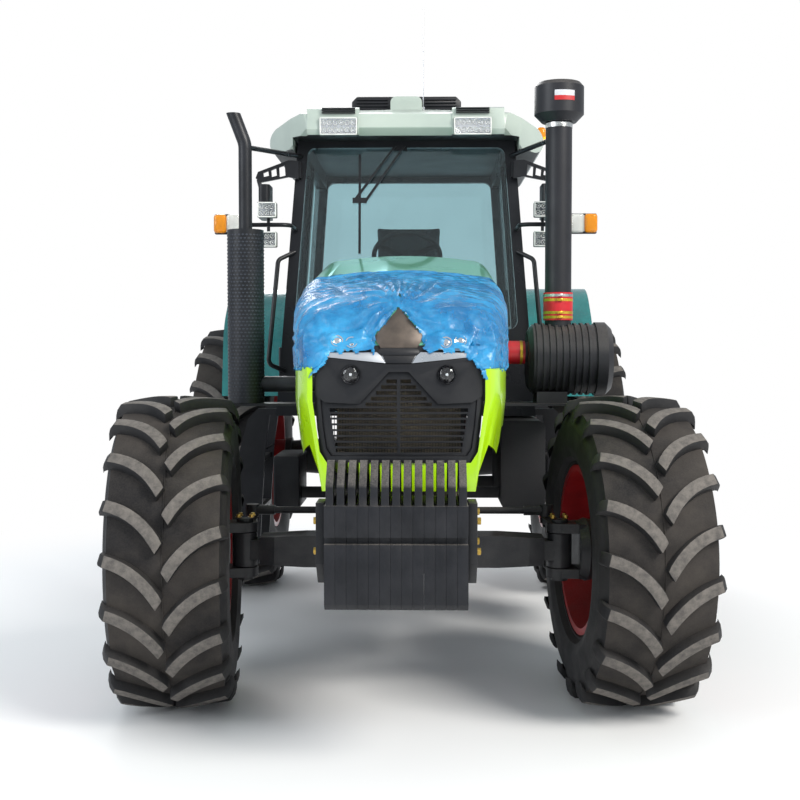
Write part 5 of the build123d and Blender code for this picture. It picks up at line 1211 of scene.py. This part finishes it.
# ---- Roof, cooling unit and whip antenna
# A vacuum-formed cream roof, dark underneath, with black vents over its work lamps, a black cooling
# unit with louvres, and a thin whip on the front edge.
cream_skin = finish_material("cream_roof", (0.46, 0.53, 0.47, 1), (0.39, 0.455, 0.41, 1),
                             roughness=0.34, coat=0.4, dust=0.12, mottle=1.8, grain=500.0, relief=0.0003)
dark_lining = finish_material("dark_roof_lining", (0.010, 0.011, 0.014, 1), (0.016, 0.017, 0.02, 1),
                              roughness=0.5, dust=0.1, relief=0.0004)
roof = rounded_twin("cab_roof", cream_skin, 0.008, segments=3, angle=30)
paint(roof, cream_skin, dark_lining)
roof_low, roof_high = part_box("cab_roof")
for face in roof.data.polygons:
    if face.normal.z < -0.75 and face.center.z < 2.93:
        face.material_index = 1
rounded_twin("aircon_unit", moulded_black, 0.006)
unit_low, unit_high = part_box("aircon_unit")
slats = []
slat_count, cap_half, slat_tilt = 5, 0.11, math.radians(-28)
for n in range(slat_count):
    z = unit_low.z + 0.028 + n * (unit_high.z - unit_low.z - 0.05) / (slat_count - 1)
    for x0, x1 in ((unit_low.x + 0.03, -cap_half), (cap_half, unit_high.x - 0.03)):
        slats.append(block(((x0 + x1) / 2, unit_low.y - 0.001, z), (x1 - x0, 0.016, 0.006), slat_tilt))
louvres = join(slats, "cooling_louvres")
modify(louvres, "BEVEL", width=0.0015, segments=1)
paint(louvres, pipe_paint)
hand_in(louvres)
finish_node("antenna", rod_chrome)
vents = [block((x, roof_low.y + 0.012, 3.022 + n * 0.012), (0.19, 0.03, 0.006))
         for x in (-0.38, 0.38) for n in range(3)]
vent_grid = join(vents, "lamp_housing_vents")
modify(vent_grid, "BEVEL", width=0.0012, segments=1)
paint(vent_grid, dark_lining)
hand_in(vent_grid)


# ---- Lamps on the cab
# Square and long LED work lamps in black housings with clear fronts; their rims and reflectors are
# painted near-white in place of bright steel's reflections (painted reflection). A two-part turn lamp
# on each side, amber outside and clear inside, and an amber marker on the roof's side.
amber_cover = clear_cover("amber_cover", (1.0, 0.36, 0.02, 1), roughness=0.06, share=0.55)
# Painted reflection: near-white, not metallic, for the lamps' rims, reflector cups and inner turn lamp
# parts, in place of bright steel's reflections.
painted_reflection_white = finish_material("led_reflector_painted_reflection", (0.88, 0.88, 0.84, 1), (0.78, 0.78, 0.75, 1), roughness=0.24,
                            dust=0.0, mottle=20.0, grain=900.0, relief=0.0002)
lamp_rim, lamp_recess = 0.007, 0.014
housings, reflectors, fronts, ambers, clears = [], [], [], [], []


def slab(low, high, bevel, finish, into):
    """A rounded block between two corners."""
    piece = block((low + high) / 2, high - low)
    modify(piece, "BEVEL", width=bevel, segments=3)
    paint(piece, finish)
    into.append(piece)


def work_lamp(low, high, across, up, facing=-1):
    """Housing with a rim, a grid of small reflectors, and a clear front; facing is along Y."""
    front = low.y if facing < 0 else high.y
    rear_low, rear_high = low.copy(), high.copy()
    if facing < 0:
        rear_low.y = front + lamp_recess
    else:
        rear_high.y = front - lamp_recess
    slab(rear_low, rear_high, 0.006, moulded_black, housings)
    left, right, bottom, top = low.x + lamp_rim, high.x - lamp_rim, low.z + lamp_rim, high.z - lamp_rim
    y0, y1 = sorted((front, front - facing * 0.018))
    for x0, x1, z0, z1 in ((low.x, left, low.z, high.z), (right, high.x, low.z, high.z),
                           (low.x, high.x, low.z, bottom), (low.x, high.x, top, high.z)):
        slab(Vector((x0, y0, z0)), Vector((x1, y1, z1)), 0.002, painted_reflection_white, reflectors)
    width, height = right - left, top - bottom
    radius = min(width / across, height / up) * 0.46
    cup_outline = [(0.0, radius), (-0.008, radius * 0.62), (-0.010, radius * 0.3), (-0.004, radius * 0.26),
                   (-0.003, 0.0)]
    cup = turn_profile("cup", cup_outline, 16, axis=(0, 0, 1))
    places = [stand((left + width * (i + 0.5) / across, front - facing * 0.005,
                     bottom + height * (j + 0.5) / up), (0, facing, 0))
              for i in range(across) for j in range(up)]
    reflectors.append(set_out(cup, places, "cups", painted_reflection_white))
    middle = (low + high) / 2
    plate = block((middle.x, front - facing * 0.0125, middle.z), (width, 0.002, height))
    paint(plate, brushed)
    reflectors.append(plate)
    y0, y1 = sorted((front, front - facing * 0.002))
    slab(Vector((left, y0, bottom)), Vector((right, y1, top)), 0.0008, lamp_clear, fronts)


for low, high in parts_of("lamps"):
    size = high - low
    if size.x > 0.14 and size.z < 0.12 and low.z > 2.8:
        work_lamp(low, high, 6, 2, -1 if low.y < 0 else 1)
    elif size.x > 0.12:
        inner, outer = (low.x, high.x) if low.x > 0 else (high.x, low.x)
        back_low, back_high = low.copy(), high.copy()
        back_low.y = low.y + size.y * 0.55
        slab(back_low, back_high, 0.008, moulded_black, housings)
        slab(Vector((low.x + 0.008, low.y + size.y * 0.3, low.z + 0.012)),
             Vector((high.x - 0.008, low.y + size.y * 0.56, high.z - 0.012)), 0.006, painted_reflection_white, reflectors)
        split_x = inner + (outer - inner) * 0.52
        for a, b, finish, into in ((inner, split_x, lamp_clear, clears),
                                   (split_x, outer, amber_cover, ambers)):
            slab(Vector((min(a, b), low.y, low.z + 0.004)),
                 Vector((max(a, b), low.y + size.y * 0.6, high.z - 0.004)), 0.017, finish, into)
    else:
        work_lamp(low, high, 3, 2)
for group, name, slot in (
        (housings, "lamp_housings", "dark_plastic"), (reflectors, "lamp_reflectors", "bright_steel"),
        (fronts, "lamp_fronts", "lamp_clear"), (ambers, "amber_lenses", "lamp_clear"),
        (clears, "clear_lenses", "lamp_clear")):
    piece = join(group, name)
    smooth(piece, 35)
    if name == "lamp_housings":
        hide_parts("lamps")
    hand_in(piece)

marker_low, marker_size = Vector((roof_high.x - 0.030, 0.10, 2.925)), Vector((0.052, 0.075, 0.095))
marker = block(marker_low + marker_size / 2, marker_size)
marker.name = "roof_marker_lens"
modify(marker, "BEVEL", width=0.018, segments=3)
paint(marker, amber_cover)
smooth(marker, 40)
hand_in(marker)


# ---- Rear fenders
# Bent sheet fenders on the cab's sides, still in their teal film, given as a glossy teal finish
# with a fine, uneven relief.
teal_film = finish_material("teal_film", (0.008, 0.220, 0.215, 1), (0.005, 0.150, 0.155, 1),
                            roughness=0.22, coat=0.5, coat_roughness=0.08, dust=0.1, mottle=5.0,
                            grain=38.0, waves=9.0, wave_share=0.5, relief=0.006)
finish_node("rear_fenders", teal_film)


# ---- Hitch and power take-off
# Forged links and lift rods in black paint, worn lighter in patches, with a stowed top link.
forged = finish_material("forged_link", (0.016, 0.017, 0.020, 1), (0.05, 0.048, 0.045, 1), roughness=0.42,
                         coat=0.15, dust=0.3, mottle=9.0, grain=220.0, relief=0.0012)
finish_node("lift_arms lift_rods lower_links top_link", forged)
